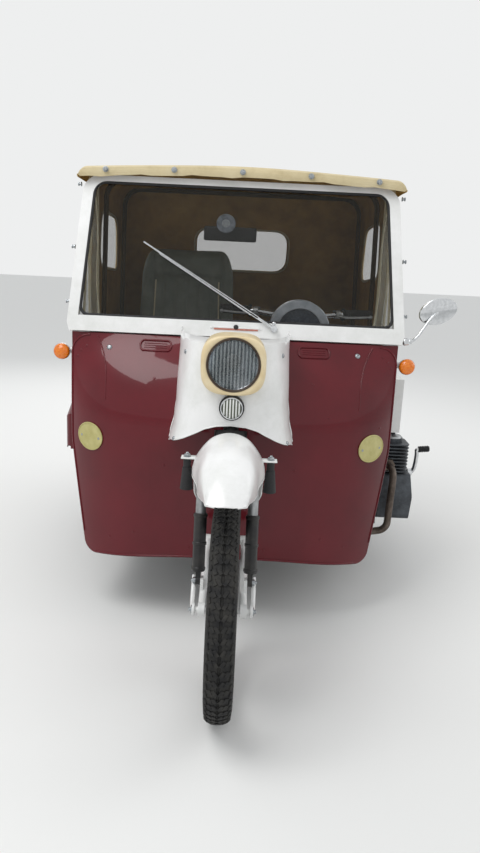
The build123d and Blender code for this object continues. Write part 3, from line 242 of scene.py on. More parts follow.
def dress(made, *names):
    """Gives CAD nodes their finish."""
    for name in names:
        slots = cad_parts[name].data.materials
        slots.clear()
        slots.append(made)


# Anodised aluminium looks half dull, with soft cloudy patches.
alloy = coat(
    "dull_anodised_aluminium", {"Scale": 60, "Detail": 6}, ((0.3, "#8d8f90"), (0.7, "#b4b6b7")),
    {"Metallic": 0.9, "Roughness": 0.42})
dress(alloy, "front_rim", "rear_right_rim", "rear_left_rim", "strut_sleeves")
rib_tops = [(62.2, -26)]
for rib in range(7):
    rib_x = -24 + 8 * rib
    rib_tops += [(62.2, rib_x - 1.6), (65, rib_x - 1), (65, rib_x + 1), (62.2, rib_x + 1.6)]
drum_ribs = lathe("drum_ribs", rib_tops + [(62.2, 26), (61, 26), (61, -26), (62.2, -26)], along=(1, 0, 0))
valve = lathe("valve", [(0, 0), (3, 0), (3, 4), (2.2, 5), (2.2, 22), (3.4, 23), (3.4, 30), (0, 30.5)],
              base=(0, 0, -188.5), along=(0, 0, 1), steps=12)
hub_trim = joined("hub_trim", [drum_ribs, valve])
for wheel, wheel_x, wheel_y in wheel_places:
    made = twin(hub_trim, wheel + "_hub_ribs", Matrix.Translation(mm(wheel_x, wheel_y, axle_height)))
    fit(made, wheel + "_wheel", alloy, "bright_steel")
bpy.data.objects.remove(hub_trim)

# White enamel: sprayed alkyd gloss paint over sheet steel, a little yellowed, with the fine
# orange peel of a home respray and faint dirt in the hollows.
white = coat(
    "white_alkyd_enamel", {"Scale": 7, "Detail": 9, "Roughness": 0.7},
    ((0.25, "#d9dad6"), (0.6, "#efefee")),
    {"Roughness": 0.28, "Coat Weight": 0.4, "Coat Roughness": 0.12},
    raised=(0.08, 0.0008, {"Scale": 260, "Detail": 2}))
dress(white, "front_mudguard", "front_swing_arm", "nose_cover", "windscreen_frame", "engine_panel",
      "plate_holder")

# Burgundy enamel: sprayed gloss paint over pressed steel sheet, polished, slightly wavy from
# hand beating, so that it mirrors the light in soft patches.
burgundy = coat(
    "burgundy_alkyd_enamel", {"Scale": 3, "Detail": 7, "Roughness": 0.6},
    ((0.3, "#530e17"), (0.7, "#68141f")),
    {"Roughness": 0.3, "Specular IOR Level": 0.1, "Coat Weight": 0.55, "Coat Roughness": 0.05},
    raised=(0.35, 0.02, {"Scale": 4, "Detail": 1}))
dress(burgundy, "front_shield", "cowl", "rear_body", "rear_wing_right", "rear_wing_left")

# Black paint on frame parts: semi-gloss chassis enamel, brushed onto steel tube and sheet. It keeps
# the road's dust, so that it looks grey in patches.
black = coat(
    "black_chassis_enamel", {"Scale": 22, "Detail": 8, "Roughness": 0.7},
    ((0.45, "#161617"), (0.8, "#3a3733")), {"Roughness": 0.42})
dress(black, "fork_frame", "strut_tubes", "chassis_frame", "floor_pan", "rear_suspension")

# Soft black rubber: grips, buffers, seals and mats, moulded and pushed or clamped into place. It is
# matt with a fine grain.
soft_rubber = coat(
    "soft_black_rubber", {"Scale": 500, "Detail": 3}, ((0.3, "#151516"), (0.75, "#28282a")),
    {"Roughness": 0.65}, raised=(0.2, 0.0005))
dress(soft_rubber, "grips", "rubber_buffers")

# Chrome plate on polished steel tube and pressings: the handlebar and its link first, and later
# the lamp rings, wiper and mirror. It is bright, with a faint haze from age.
chrome = finish("chrome_plate")
where = shade(chrome, "TexCoord").outputs["Object"]
haze = shade(chrome, "TexNoise", {"Vector": where, "Scale": 120, "Detail": 6})
dull = shade(chrome, "MapRange", {"Value": haze.outputs["Fac"], "To Min": 0.06, "To Max": 0.2})
stops = ((0.3, "#c4c6c8"), (0.7, "#dcdee0"))
tone = shade(chrome, "ValToRGB", {"Fac": haze.outputs["Fac"]}, stops)
skin = shade(chrome, "BsdfPrincipled", {"Base Color": tone.outputs["Color"], "Metallic": 1,
                                        "Roughness": dull.outputs["Result"]})
shade(chrome, "OutputMaterial", {"Surface": skin.outputs["BSDF"]})
dress(chrome, "handlebar", "steering_link")

# Zinc-plated fasteners: domed screws and hexagon nuts of mild steel that hold the pressings and the
# fork together, with a grey-blue sheen.
zinc = coat(
    "zinc_plated_steel", {"Scale": 300, "Detail": 4}, ((0.3, "#7f8488"), (0.7, "#b9bdc0")),
    {"Metallic": 0.95, "Roughness": 0.33})


def screw(spot, out, radius=5, kind="dome"):
    """One fastener seated at a point: a domed or flat head, or a hexagon nut on its washer."""
    if kind == "hex":
        washer = lathe("washer", [(0, 0), (radius * 1.25, 0), (radius * 1.25, 1.2), (0, 1.2)], spot, out,
                       20)
        nut = lathe("nut", [(0, 1), (radius, 1), (radius, radius * 0.75), (radius * 0.88, radius * 0.9),
                            (0, radius * 0.9)], spot, out, 6)
        stud = lathe("stud", [(0, 1), (radius * 0.5, 1), (radius * 0.5, radius * 1.3),
                              (radius * 0.38, radius * 1.45), (0, radius * 1.45)], spot, out, 12)
        return joined("nut", [washer, smooth(nut, 20), stud])
    rise = radius * (0.55 if kind == "dome" else 0.25)
    return lathe("screw", [(0, 0), (radius, -0.2), (radius, rise * 0.3), (radius * 0.82, rise * 0.75),
                           (radius * 0.5, rise), (radius * 0.28, rise * 1.02), (radius * 0.2, rise * 0.6),
                           (0, rise * 0.6)], spot, out, 16)


# Front mudguard: pressed steel with a raised centre line and two soft creases, its lower edge
# rolled round a wire. It rises over the struts and its lip is cut level in front.


def rod(name, points, radius, closed=False, curved=False, rings=3):
    """A round rod, wire or bead along points in millimetres, one straight or smooth curve made a mesh."""
    line = bpy.data.curves.new(name, "CURVE")
    line.dimensions = "3D"
    line.bevel_depth = mm(radius)
    line.bevel_resolution = rings
    line.use_fill_caps = not closed
    spline = line.splines.new("NURBS" if curved else "POLY")
    spline.points.add(len(points) - 1)
    for spot, point in zip(spline.points, points):
        spot.co = (*mm(*point), 1)
    spline.use_cyclic_u = closed
    if curved:
        spline.order_u = 3
        spline.use_endpoint_u = not closed
        spline.resolution_u = 8
    piece = bpy.data.objects.new(name, line)
    bpy.context.scene.collection.objects.link(piece)
    hold(piece)
    bpy.ops.object.convert(target="MESH")
    return smooth(bpy.context.object, 50)


def bar(name, low, high, bevel=1, segments=2):
    """A bar or plate between two corners in millimetres, its edges rounded."""
    middle = [(a + b) / 2000 for a, b in zip(low, high)]
    piece = begin("cube", name, size=1, location=middle, scale=[(b - a) / 1000 for a, b in zip(low, high)])
    return smooth(edit(piece, ("bevel", {"offset": mm(bevel), "segments": segments, "affect": "EDGES"})))


def both_sides(piece):
    """A piece and its mirror image across the middle of the vehicle, as one."""
    return joined(piece.name, [piece, twin(piece, piece.name + "_other", Matrix.Diagonal((-1, 1, 1, 1)))])


def grid(name, rows):
    """A sheet through rows of points in millimetres."""
    piece = begin("grid", name, x_subdivisions=len(rows[0]) - 1, y_subdivisions=len(rows) - 1, size=1)
    for vertex, point in zip(piece.data.vertices, [point for row in rows for point in row]):
        vertex.co = mm(*point)
    return smooth(piece, 40)


def modified(piece, kind, **settings):
    """Puts one modifier on a piece and applies it."""
    hold(piece)
    change = piece.modifiers.new(kind.lower(), kind)
    for key, value in settings.items():
        setattr(change, key, value)
    bpy.ops.object.modifier_apply(modifier=change.name)
    return piece


def walled(piece, thickness, side=-1):
    """Gives a sheet its wall, inwards where the side is -1."""
    return modified(piece, "SOLIDIFY", thickness=mm(thickness), offset=side)


def along_table(table, place):
    """A row of values between the rows of a table, smoothly."""
    for low, high in zip(table, table[1:]):
        if place <= high[0]:
            part = max(0, (place - low[0]) / (high[0] - low[0]))
            part = part * part * (3 - 2 * part)
            return [a + (b - a) * part for a, b in zip(low[1:], high[1:])]
    return list(table[-1][1:])


# angle behind the vertical, half width and drop of the crown, of the shoulder and of the skirt
guard_table = ((-45, 41, 9, 45, 14, 47, 60), (-18, 45, 12, 66, 42, 71, 104), (4, 48, 15, 82, 60, 90, 104),
               (25, 48, 15, 84, 62, 92, 104), (52, 46, 14, 82, 52, 90, 136), (84, 44, 12, 70, 34, 74, 136))
lower_edge = ((-260, 639), (-205, 637), (115, 577), (150, 505), (296, 470), (400, 470))


def bend(first, pull, last, steps):
    """Points on a smooth bend that leaves one point towards a pull and comes to another."""
    return [(1 - t) ** 2 * first + 2 * t * (1 - t) * pull + t ** 2 * last
            for t in [n / steps for n in range(steps + 1)]]


def lower_edge_z(y):
    """Height of the mudguard's lower edge at one place along it."""
    for (y0, z0), (y1, z1) in zip(lower_edge, lower_edge[1:]):
        if y <= y1:
            return z0 + (z1 - z0) * (y - y0) / (y1 - y0)
    return lower_edge[-1][1]


guard_rows, wire, ridge_line = [], [], []
guard_angles = (-43.6, -43.2, -42.6, -42, -41, -39.5, -37, -34, -31,
                *range(-28, 20, 4), *range(20, 81, 5), 84)
for angle in guard_angles:
    crown, crown_drop, shoulder, shoulder_drop, skirt, skirt_drop = along_table(guard_table, angle)
    centre_y, centre_z, radius = (13, 388, 347) if angle <= 25 else (57.8, 484.1, 241)
    first, last = Vector((crown, crown_drop)), Vector((skirt, skirt_drop))
    pull = 2 * Vector((shoulder, shoulder_drop)) - (first + last) / 2
    section = [Vector((crown * u / 8, crown_drop * (u / 8) ** 2)) for u in range(8)]
    section += bend(first, pull, last, 24)
    half = []
    for across, drop in section:
        y = centre_y + (radius - drop) * sin(radians(angle))
        z = centre_z + (radius - drop) * cos(radians(angle))
        if half and z < lower_edge_z(y):
            break
        half.append(Vector((across, y, z)))
    reach = [0]
    for a, b in zip(half, half[1:]):
        reach.append(reach[-1] + (b - a).length)
    row = []
    for step in range(15):
        want, number = reach[-1] * step / 14, 0
        while number < len(reach) - 2 and reach[number + 1] < want:
            number += 1
        span = reach[number + 1] - reach[number] if len(reach) > 1 else 1
        part = min(1, (want - reach[number]) / span) if span else 0
        row.append(half[number].lerp(half[min(number + 1, len(half) - 1)], part))
    guard_rows.append([Vector((-p.x, p.y, p.z)) for p in reversed(row[1:])] + row)
    wire.append(row[-1])
    ridge_line.append(row[0] + Vector((0, sin(radians(angle)), cos(radians(angle)))) * 0.2)
guard = walled(grid("mudguard_sheet", guard_rows), 1.6, 1)
guard = joined("mudguard_sheet", [guard, both_sides(rod("wire", wire[1:], 2.2)),
                                  rod("ridge", ridge_line[2:], 1.3)])
channel = joined("channel", [bar("flange", (84, 98, 650), (126, 126, 654), 1.2),
                             bar("web", (84.5, 98, 618), (88.5, 126, 653), 1.2)])
guard = joined("mudguard_sheet", [guard, both_sides(channel)])
fit(guard, "fork", white, "white_paint", "front_mudguard")
crown_boss = bar("mudguard_boss", (-8, 236, 628), (8, 262, 674), 2)
fit(crown_boss, "fork", white, "white_paint")
nuts = [screw((110, 112, 654), (0, 0, 1), 8, "hex"), screw((88.2, 112, 636), (1, 0, 0), 5)]
nuts += [screw((84.2, 138, 604), (1, 0, 0), 9, "hex"), screw((75.4, 80, 318), (1, 0, 0), 9, "hex"),
         screw((72.2, 322, 338), (1, 0, 0), 9, "hex"), screw((72.2, 0, 275), (1, 0, 0), 11, "hex")]
fit(both_sides(joined("fork_nuts", nuts)), "fork", zinc, "bright_steel")

# Front struts: chromed sleeves in black tubes, each tube with a rolled lip and a dust band, and
# a white pressed lever over its lower eye.
strut_low, strut_way = Vector((70, 80, 318)), Vector((0, 63, 282)).normalized()
lips = [lathe("lip", [(17.1, along), (19, along + 2), (19, along + 8), (17.1, along + 10)],
              strut_low, strut_way, 32) for along in (28, 96, 171)]
fit(both_sides(joined("strut_tube_lips", lips)), "fork", black, "black_paint")
lever = rod("strut_lever", [(80, 96, 326), (81, 84, 306), (81, 62, 288), (80, 30, 276), (79, 4, 275)], 6,
            curved=True)
lever_eye = lathe("lever_eye", [(7, 0), (15, 0), (16, 1), (16, 6), (15, 7), (7, 7)], (72, 0, 275),
                  (1, 0, 0), 32)
lever = joined("strut_lever", [lever, lever_eye])
fit(both_sides(lever), "fork", white, "white_paint")
collars = [lathe("collar", [(14.2, along), (16, along + 1), (16, along + 5), (14.2, along + 6)],
                 strut_low, strut_way, 32) for along in (262, 272)]
fit(both_sides(joined("strut_sleeve_collars", collars)), "fork", chrome, "bright_steel")

# Leg shield: pressed sheet with a rolled bead round its edge, two embossed slots, bolts, screws
# and rivets along its bends.


def meet(node, start, way):
    """Where a line meets a CAD node, in millimetres, and which way the surface faces there."""
    hit, spot, normal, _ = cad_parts[node].ray_cast(mm(*start), Vector(way).normalized())
    if not hit:
        raise ValueError(f"nothing of {node} at {start}")
    return spot * 1000, normal


def from_front(node, x, z):
    """Where a line from the front meets a CAD node."""
    return meet(node, (x, -1000, z), (0, 1, 0))


def over(node, x, z, out):
    """A point that stands a little out from a CAD node's front, in millimetres."""
    spot, facing = from_front(node, x, z)
    return spot + facing * out


def circle(across, up, radius, angles):
    """Points on a circle round a middle, as pairs, at angles in degrees."""
    return [(across + radius * cos(radians(a)), up + radius * sin(radians(a))) for a in angles]


shield_edge = [(-520, 575), (-520, 640), (-520, 700), (-520, 760), (-520, 815)]
shield_edge += circle(-463, 851, 57, range(180, 90, -10)) + [(-463, 908)]
bead = [over("front_shield", -463 - 56 * (z - 192) / 368, z, 0.5) for z in range(262, 560, 33)]
bead += [over("front_shield", x, z, 0.5) for x, z in shield_edge]
fit(both_sides(rod("shield_bead", bead, 3)), "body", burgundy, "burgundy_paint")
foot_line = [over("front_shield", x, 233 - 36 * (x / 467) ** 2, 0.3) for x in range(-430, 431, 43)]
fit(rod("shield_foot_bead", foot_line, 3), "body", burgundy, "burgundy_paint")

slots, slot_z, slot_half = [], 885, 36
for middle in (-250, 250):
    rim = []
    for x, z in circle(0, 0, 1, range(0, 360, 15)):
        end = 0 if abs(x) < 0.01 else slot_half if x > 0 else -slot_half
        rim.append(over("front_shield", middle + end + 13 * x, slot_z + 15 * z, 1.4))
    slots.append(rod("slot_rim", rim, 3.2, closed=True))
    for line in (-6, 0, 6):
        rib = [over("front_shield", middle + x, slot_z + line, 0.2) for x in (-slot_half, 0, slot_half)]
        slots.append(rod("slot_rib", rib, 1.4))
fit(joined("shield_slots", slots), "body", burgundy, "burgundy_paint")
corner = both_sides(bar("cowl_corner", (430, 587.5, 820), (521, 589.5, 913), 0.6))
fit(corner, "body", burgundy, "burgundy_paint")

bolts = [screw(*from_front("front_shield", x, z), 8.5) for x, z in ((-397, 873), (390, 880))]
fit(joined("shield_bolts", bolts), "body", zinc, "bright_steel")
rivet_places = ((-244, 793), (246, 796), (-205, 529), (204, 529), (-473, 872), (-491, 857), (-503, 839),
                (473, 878), (491, 862), (503, 842), (478, 625), (476, 655), (300, 700), (-300, 300),
                (300, 300), (-380, 268), (380, 268), (-120, 262), (120, 262), (0, 262))
rivets = [screw(*from_front("front_shield", x, z), 4.6, "flat") for x, z in rivet_places]
fit(joined("shield_rivets", rivets), "body", burgundy, "burgundy_paint")

# Blanking covers: two stamped discs under an aged olive lacquer, each with two cross-head screws
# and a low rolled rim.
# The lacquer has half a gloss and has darkened unevenly to a yellow green.
olive = coat(
    "aged_olive_lacquer", {"Scale": 24, "Detail": 9, "Roughness": 0.7},
    ((0.3, "#a9a160"), (0.7, "#c6be84")), {"Roughness": 0.42})
dress(olive, "blanking_covers")
rims, heads = [], []
for middle in (-450, 450):
    rim = [over("blanking_covers", x, z, 0.2) for x, z in circle(middle, 592, 43.5, range(0, 360, 12))]
    rims.append(rod("disc_rim", rim, 1.8, closed=True))
    heads += [screw(*from_front("blanking_covers", middle + shift, 590), 4.2, "flat")
              for shift in (-31, 31)]
fit(joined("disc_rims", rims), "body", olive, "cream_paint")
fit(joined("disc_screws", heads), "body", zinc, "bright_steel")

# Nose cover: one deep pressing over the steering head, rounded from its front into its sides and
# closed by a lid under the windscreen. Plated dome bolts hold it to the shield.


def bored(piece, cutter):
    """Cuts one shape out of a piece and takes the cutter away."""
    modified(piece, "BOOLEAN", object=cutter, operation="DIFFERENCE", solver="EXACT")
    bpy.data.objects.remove(cutter)


def half_width(z):
    """The nose's half width where it meets the shield, at one height."""
    return along_table(((600, 196), (640, 186), (700, 174), (760, 169), (960, 167)), z)[0]


def arch_z(x):
    """Height of the nose's lower edge: a bell-shaped arch down to two narrow tips."""
    table = ((0, 719), (45, 715), (80, 704), (98, 693), (115, 683), (143, 664), (160, 653), (172, 648),
             (180, 640), (187, 622))
    x = abs(x)
    for (x0, z0), (x1, z1) in zip(table, table[1:]):
        if x <= x1:
            return z0 + (z1 - z0) * (x - x0) / (x1 - x0)
    return table[-1][1]


nose_top, face_rows, lid_rows = 940, 26, 7
nose_rows = []
for step in range(face_rows + 1 + lid_rows):
    row = []
    for column in range(-24, 25):
        part = column / 24
        part = part * (1.5 - 0.5 * abs(part))
        low = arch_z(part * 186)
        z = low + (nose_top - low) * min(step, face_rows) / face_rows
        back_y = from_front("front_shield", 171 if part > 0 else -171, min(z, 905))[0].y
        front_y = 208 + 8 * (z - 700) / 256
        bow = (1 - abs(part) ** 2.7) ** (1 / 2.7) if abs(part) < 1 else 0
        point = Vector((part * half_width(z), back_y - (back_y - front_y) * bow, z))
        if step > face_rows:
            lid = (step - face_rows) / lid_rows
            point = point.lerp(Vector((point.x, 573, 908)), lid)
            point.z = nose_top + 16 * sin(min(lid * 5, 1) * pi / 2) - 48 * max(0, lid - 0.05)
        row.append(point)
    nose_rows.append(row)
nose_shell = walled(grid("nose_sheet", nose_rows), 2)
bored(nose_shell, bar("lamp_cutter", (-84, 140, 811), (84, 300, 961), 40, 6))
smooth(nose_shell, 40)
side_edge = both_sides(rod("side_edge", [row[-1] for row in nose_rows[:face_rows + 1]], 2))
nose_shell = joined("nose_sheet", [nose_shell, rod("edge", nose_rows[0][1:-1], 2), side_edge])
fit(nose_shell, "body", white, "white_paint", "nose_cover")


def on_nose(x, z):
    """A point of the nose's own sheet and the way that it faces, on a line from the camera's side."""
    hit, spot, normal, _ = nose_shell.ray_cast(mm(x, -1000, z), (0, 1, 0))
    return spot * 1000, normal


fixings = [screw(*on_nose(side * x, z), 6.8) for side in (-1, 1) for x, z in ((137, 903), (163, 654))]
fit(joined("nose_bolts", fixings), "body", zinc, "chrome")

# Headlamp bezel: a deep-drawn cream pressing, rounder than a square, that slopes from its rolled
# outer edge down to the lamp's rim and hangs a little below the lamp's middle.
# The lacquer has half a gloss and a warm, slightly uneven tone.
cream = coat(
    "cream_lacquer", {"Scale": 30, "Detail": 8}, ((0.3, "#dcc79c"), (0.7, "#e8d8b4")),
    {"Roughness": 0.35})
lamp = Vector((0, 178, 888))


def bezel_ring(half, low, high, y, power):
    """One closed row of the bezel in millimetres, round the lamp's middle."""
    row = []
    for step in range(96):
        turn = 2 * pi * step / 96
        across = (half if cos(turn) > 0 else -half) * abs(cos(turn)) ** (2 / power)
        rise = (high if sin(turn) > 0 else -low) * abs(sin(turn)) ** (2 / power)
        row.append((lamp.x + across, y, lamp.z + rise))
    return row + row[:1]


# half width, reach down, reach up, y and squareness of each row, from the lamp's rim outwards
bezel_rows = ((72.5, 72.5, 72.5, 200, 2), (72.8, 72.8, 72.8, 190.5, 2), (74.5, 74.5, 73.8, 188.8, 2.05),
              (80, 78, 75, 188.2, 2.5), (84.5, 80.5, 75.8, 189.6, 2.8), (86.8, 82.4, 77, 193.5, 3),
              (87.8, 83.4, 77.6, 199, 3.1), (87.8, 83.4, 77.6, 222, 3.1), (87.4, 82.8, 77.4, 292, 3.1))
bezel = grid("headlamp_bezel_pressing", [bezel_ring(*row) for row in bezel_rows])
fit(smooth(walled(merged(bezel), 1.4), 50), "body", cream, "cream_paint", "headlamp_bezel")

# Headlamp: a ribbed glass in a brown-black rim, with a silvered reflector, a bulb and its cap
# behind it, and a pressed shell at the back.
# Pressed glass is clear and smooth, and its upright ribs bend the light. The dark and pale stripes
# along the ribs in its colour are painted light.
lamp_glass_painted_light = coat(
    "pressed_lamp_glass", {"Scale": 32, "Distortion": 0}, ((0.2, "#6a7377"), (0.8, "#d3dadb")),
    {"Roughness": 0.06, "Alpha": 0.16, "Coat Weight": 0.2, "Coat Roughness": 0.03}, raised=(0.5, 0.002),
    kind="TexWave", bands_direction="X")
# Silvering mirrors what is round it. The broad bands of light and dark in its colour are a painted
# reflection.
reflector_painted_reflection = coat(
    "silvered_reflector", {"Scale": 1, "Detail": 4},
    ((0.36, "#474f52"), (0.47, "#8b9498"), (0.56, "#b4bcc4"), (0.66, "#e6ebf0")),
    {"Metallic": 0.75, "Roughness": 0.18}, stretch=(26, 12, 11))
# The rubber is half matt with a brown bloom.
brown_rim = coat(
    "brown_black_rubber_rim", {"Scale": 90, "Detail": 6}, ((0.3, "#2b2018"), (0.7, "#4a3828")),
    {"Roughness": 0.45})

lens_profile = [(0, 0.4), (20, 0.9), (38, 3), (52, 7), (62, 11), (68, 15.6), (66, 17.4), (60, 13.4),
                (50, 9.4), (36, 5.6), (20, 3.2), (0, 2.8)]
glass_skin = lathe("headlamp_lens", lens_profile, lamp, (0, 1, 0), 72)
fit(glass_skin, "body", lamp_glass_painted_light, "lamp_glass", "headlamp")
bowl = [(68, 18)]
bowl += [(66 * (1 - step / 14), 20 + 44 * (1 - (1 - step / 14) ** 2)) for step in range(14)]
fit(lathe("headlamp_reflector", bowl, lamp, (0, 1, 0), 72), "body", reflector_painted_reflection, "bright_steel")
bulb = joined("headlamp_bulb", [
    lathe("cap", [(0, 14), (14, 15), (20, 20), (20.5, 27), (19, 28), (0, 29)], lamp + Vector((0, 0, 8)),
          (0, 1, 0), 40),
    lathe("stem", [(0, 28), (6, 28), (6, 60), (9, 62), (0, 62)], lamp, (0, 1, 0), 24),
    rod("filament_shield", [(-14, 196, 872), (0, 194, 868), (14, 196, 872)], 2.2, curved=True),
])
fit(bulb, "body", black, "black_paint")
ring = lathe("headlamp_rim", [(67, 11.5), (69.5, 9), (72.6, 10), (73.4, 14), (72.6, 20), (67, 20),
                              (67, 11.5)], lamp, (0, 1, 0), 96)
fit(ring, "body", brown_rim, "black_rubber")
shell = lathe("headlamp_shell", [(71, 20), (71, 32), (60, 46), (36, 69), (0, 70), (0, 66), (34, 66),
                                 (69, 30), (69, 20), (71, 20)], lamp, (0, 1, 0), 64)
fit(shell, "body", black, "black_paint")
heads = [screw((side * 78.5, 190, 886), (0, -1, 0), 4.4, "flat") for side in (-1, 1)]
fit(joined("bezel_screws", heads), "body", brown_rim, "bright_steel")

# Parking lamp: a fluted clear lens in a chromed ring, on a rubber gasket that seals it against the
# nose cover.
park = Vector((0, 186, 770))
# Fluted glass is clear under a gloss. The dark and pale upright lines in its colour are painted
# light from the flutes.
fluted_glass_painted_light = coat(
    "fluted_lamp_glass", {"Scale": 38, "Distortion": 0},
    ((0.25, "#3c4030"), (0.5, "#b3b7ab"), (0.75, "#f0f2ef")),
    {"Roughness": 0.08, "Coat Weight": 0.8, "Coat Roughness": 0.03}, raised=(0.8, 0.003), kind="TexWave",
    bands_direction="X")
park_lens = lathe("parking_lens", [(0, 0.6), (12, 1), (20, 2.4), (27, 5.6), (27, 12), (0, 12)], park,
                  (0, 1, 0), 48)
fit(park_lens, "body", fluted_glass_painted_light, "lamp_glass", "parking_lamp")
park_ring = lathe("parking_ring", [(26.5, 4.8), (28, 2.6), (30.4, 3.2), (31.8, 7), (32, 24), (26.5, 24),
                                   (26.5, 4.8)], park, (0, 1, 0), 64)
fit(park_ring, "body", chrome, "chrome")
gasket = lathe("parking_gasket", [(31.9, 8), (34.2, 8.5), (34.6, 12), (34.2, 24), (31.9, 24), (31.9, 8)],
               park, (0, 1, 0), 64)
fit(gasket, "body", soft_rubber, "black_rubber")

# Windscreen: toughened glass in a black rubber seal, set in the white frame. On the band under
# it are the fresh-air flap with its red strip, a knob and the wiper's spindle.
screen_lean = radians(14)
screen_out = Vector((0, -cos(screen_lean), sin(screen_lean)))


def on_screen(x, z, out=0):
    """A point over the windscreen frame's front face, in millimetres."""
    return Vector((x, 575 + (z - 920) * tan(screen_lean), z)) + screen_out * out


def ring_of(corners, radius, around=5):
    """A closed outline through corners given as (x, z), each rounded by a radius."""
    outline = []
    for number, corner in enumerate(corners):
        here = Vector(corner)
        before = (Vector(corners[number - 1]) - here).normalized()
        after = (Vector(corners[(number + 1) % len(corners)]) - here).normalized()
        outline += bend(here + before * radius, here, here + after * radius, around)
    return outline


seal_glass = ((-500, 971), (500, 971), (467, 1382), (-467, 1382))
seal = rod("windscreen_seal", [on_screen(x, z, -6) for x, z in ring_of(seal_glass, 34)], 5, closed=True)
fit(seal, "body", soft_rubber, "black_rubber")
# Float glass is nearly clear, very smooth and a little dark.
pane_glass = coat(
    "float_glass", {"Scale": 5, "Detail": 9, "Roughness": 0.75}, ((0.4, "#161713"), (0.75, "#2c2d27")),
    {"Roughness": 0.02, "Alpha": 0.26})
dress(pane_glass, "windscreen_glass")
strip = rod("air_flap_strip", [on_screen(-70, 944, 1), on_screen(0, 944, 1), on_screen(70, 944, 1)], 2.6)
# Faded rubber is dull and pinkish.
copper = coat(
    "faded_red_rubber", {"Scale": 120, "Detail": 6}, ((0.3, "#a65a48"), (0.7, "#c98270")),
    {"Roughness": 0.5})
fit(strip, "body", copper, "white_paint")
flap = joined("air_flap", [
    rod("lip", [on_screen(-74, 949, 1), on_screen(74, 949, 1)], 3),
    screw(on_screen(-78, 947, 0.2), screen_out, 4), screw(on_screen(78, 947, 0.2), screen_out, 4),
])
fit(flap, "body", white, "white_paint")
knob = lathe("air_flap_knob", [(0, 0), (7.5, 0), (8, 3), (6.5, 7), (0, 8.5)], on_screen(0, 951, 0.2),
             screen_out, 24)
fit(knob, "body", soft_rubber, "black_rubber")

# Wiper: a chromed spindle with two nuts and a double-rod arm, and a rubber blade in its channel,
# which rests across the glass.
foot, tip = on_screen(121, 950, 12), on_screen(-304, 1200, 9)
run = (tip - foot).normalized()
beside = run.cross(screen_out).normalized()
arm = [lathe("spindle", [(0, -10), (11, -10), (11, -6), (7, -5), (7, 4), (9.5, 5), (9.5, 9), (0, 10)],
             foot, screen_out, 24),
       screw(on_screen(120, 968, 0.2), screen_out, 6),
       rod("head", [foot, foot + run * 62], 5),
       rod("rod_a", [foot + run * 58 + beside * 3.4, foot + run * 300 + beside * 2.2, tip + beside], 1.7),
       rod("rod_b", [foot + run * 58 - beside * 3.4, foot + run * 300 - beside * 2.2, tip - beside], 1.7)]
blade_low, blade_high = on_screen(45, 990, -1.5), on_screen(-253, 1166, -1.5)
blade_mid = (blade_low + blade_high) / 2
arm += [rod("blade_back", [blade_low + screen_out * 7.5, blade_mid + screen_out * 9,
                           blade_high + screen_out * 7.5], 1.9),
        rod("blade_clip", [blade_mid + screen_out * 6 - run * 12, foot + run * 250], 2.6)]
fit(joined("wiper_arm", arm), "body", chrome, "bright_steel", "wiper")
blade = rod("wiper_blade", [blade_low, (blade_low + blade_mid) / 2, blade_mid, (blade_high + blade_mid) / 2,
                            blade_high], 2.6)
for vertex in blade.data.vertices:
    vertex.co += screen_out * mm(3.5)
fit(blade, "body", soft_rubber, "black_rubber")

# Cabin mirror: a dark plastic shell on a ball arm, held by a clear suction cup on the inside of the
# windscreen.
shell = bar("cabin_mirror_shell", (-119, 708, 1217), (53, 726, 1263), 7, 4)
# Moulded plastic is dark and half matt, with a very fine grain.
dark_plastic = coat(
    "moulded_dark_plastic", {"Scale": 700, "Detail": 2}, ((0.3, "#1d1d1f"), (0.7, "#2c2c2f")),
    {"Roughness": 0.4})
fit(shell, "body", dark_plastic, "mirror_shell", "cabin_mirror")
cup_foot = on_screen(-47, 1275, -14.5)
cup = joined("mirror_suction_cup", [
    lathe("cup", [(0, 0), (30, 0), (31, 1.5), (24, 4.5), (12, 9), (0, 9.5)], cup_foot, -screen_out, 48),
    lathe("cup_ring", [(9, 6), (15, 6), (15, 12), (9, 12), (9, 6)], cup_foot, -screen_out, 32),
    rod("cup_arm", [cup_foot - screen_out * 8, (-44, 708, 1262), (-40, 714, 1250)], 6),
])
# Soft vinyl is smoky and shiny.
smoke = coat(
    "smoked_soft_vinyl", {"Scale": 80, "Detail": 4}, ((0.3, "#5b6068"), (0.7, "#8a9098")),
    {"Roughness": 0.2})
fit(cup, "body", smoke, "mirror_shell")
knob = lathe("cup_knob", [(0, -0.5), (13, -0.5), (14, 1.5), (9, 2.5), (0, 2.5)], cup_foot, -screen_out, 32)
fit(knob, "body", zinc, "chrome")

# Door mirror: an oval glass in a pressed and chromed shell, on a bent chromed rod that is clamped to
# the windscreen's frame.
mirror_middle, tilt = Vector((646, 606, 1028)), Matrix.Rotation(radians(-20), 4, "Y")
oval = lathe("door_mirror_shell", [(0, 0), (22, 1), (34, 3.4), (40, 8), (41, 12), (41, 17), (39, 18),
                                   (38.4, 15), (0, 15)], (0, 0, 0), (0, 1, 0), 64)
oval.data.transform(Matrix.Translation(mirror_middle / 1000) @ tilt @ Matrix.Diagonal((62 / 41, 1, 1, 1)))
stalk = rod("stalk", [(538, 590, 929), (552, 590, 930), (566, 590, 932), (582, 594, 946), (598, 598, 970),
                      (616, 601, 1000), (638, 606, 1022), (646, 612, 1026)], 5, curved=True)
clamp = lathe("clamp", [(0, 0), (11, 0), (12.5, 3), (12.5, 16), (9, 20), (9, 26), (0, 27)], (537, 590, 929),
              (1, 0, 0.1), 24)
fit(joined("door_mirror_chrome", [oval, stalk, clamp]), "body", chrome, "mirror_shell", "door_mirror")

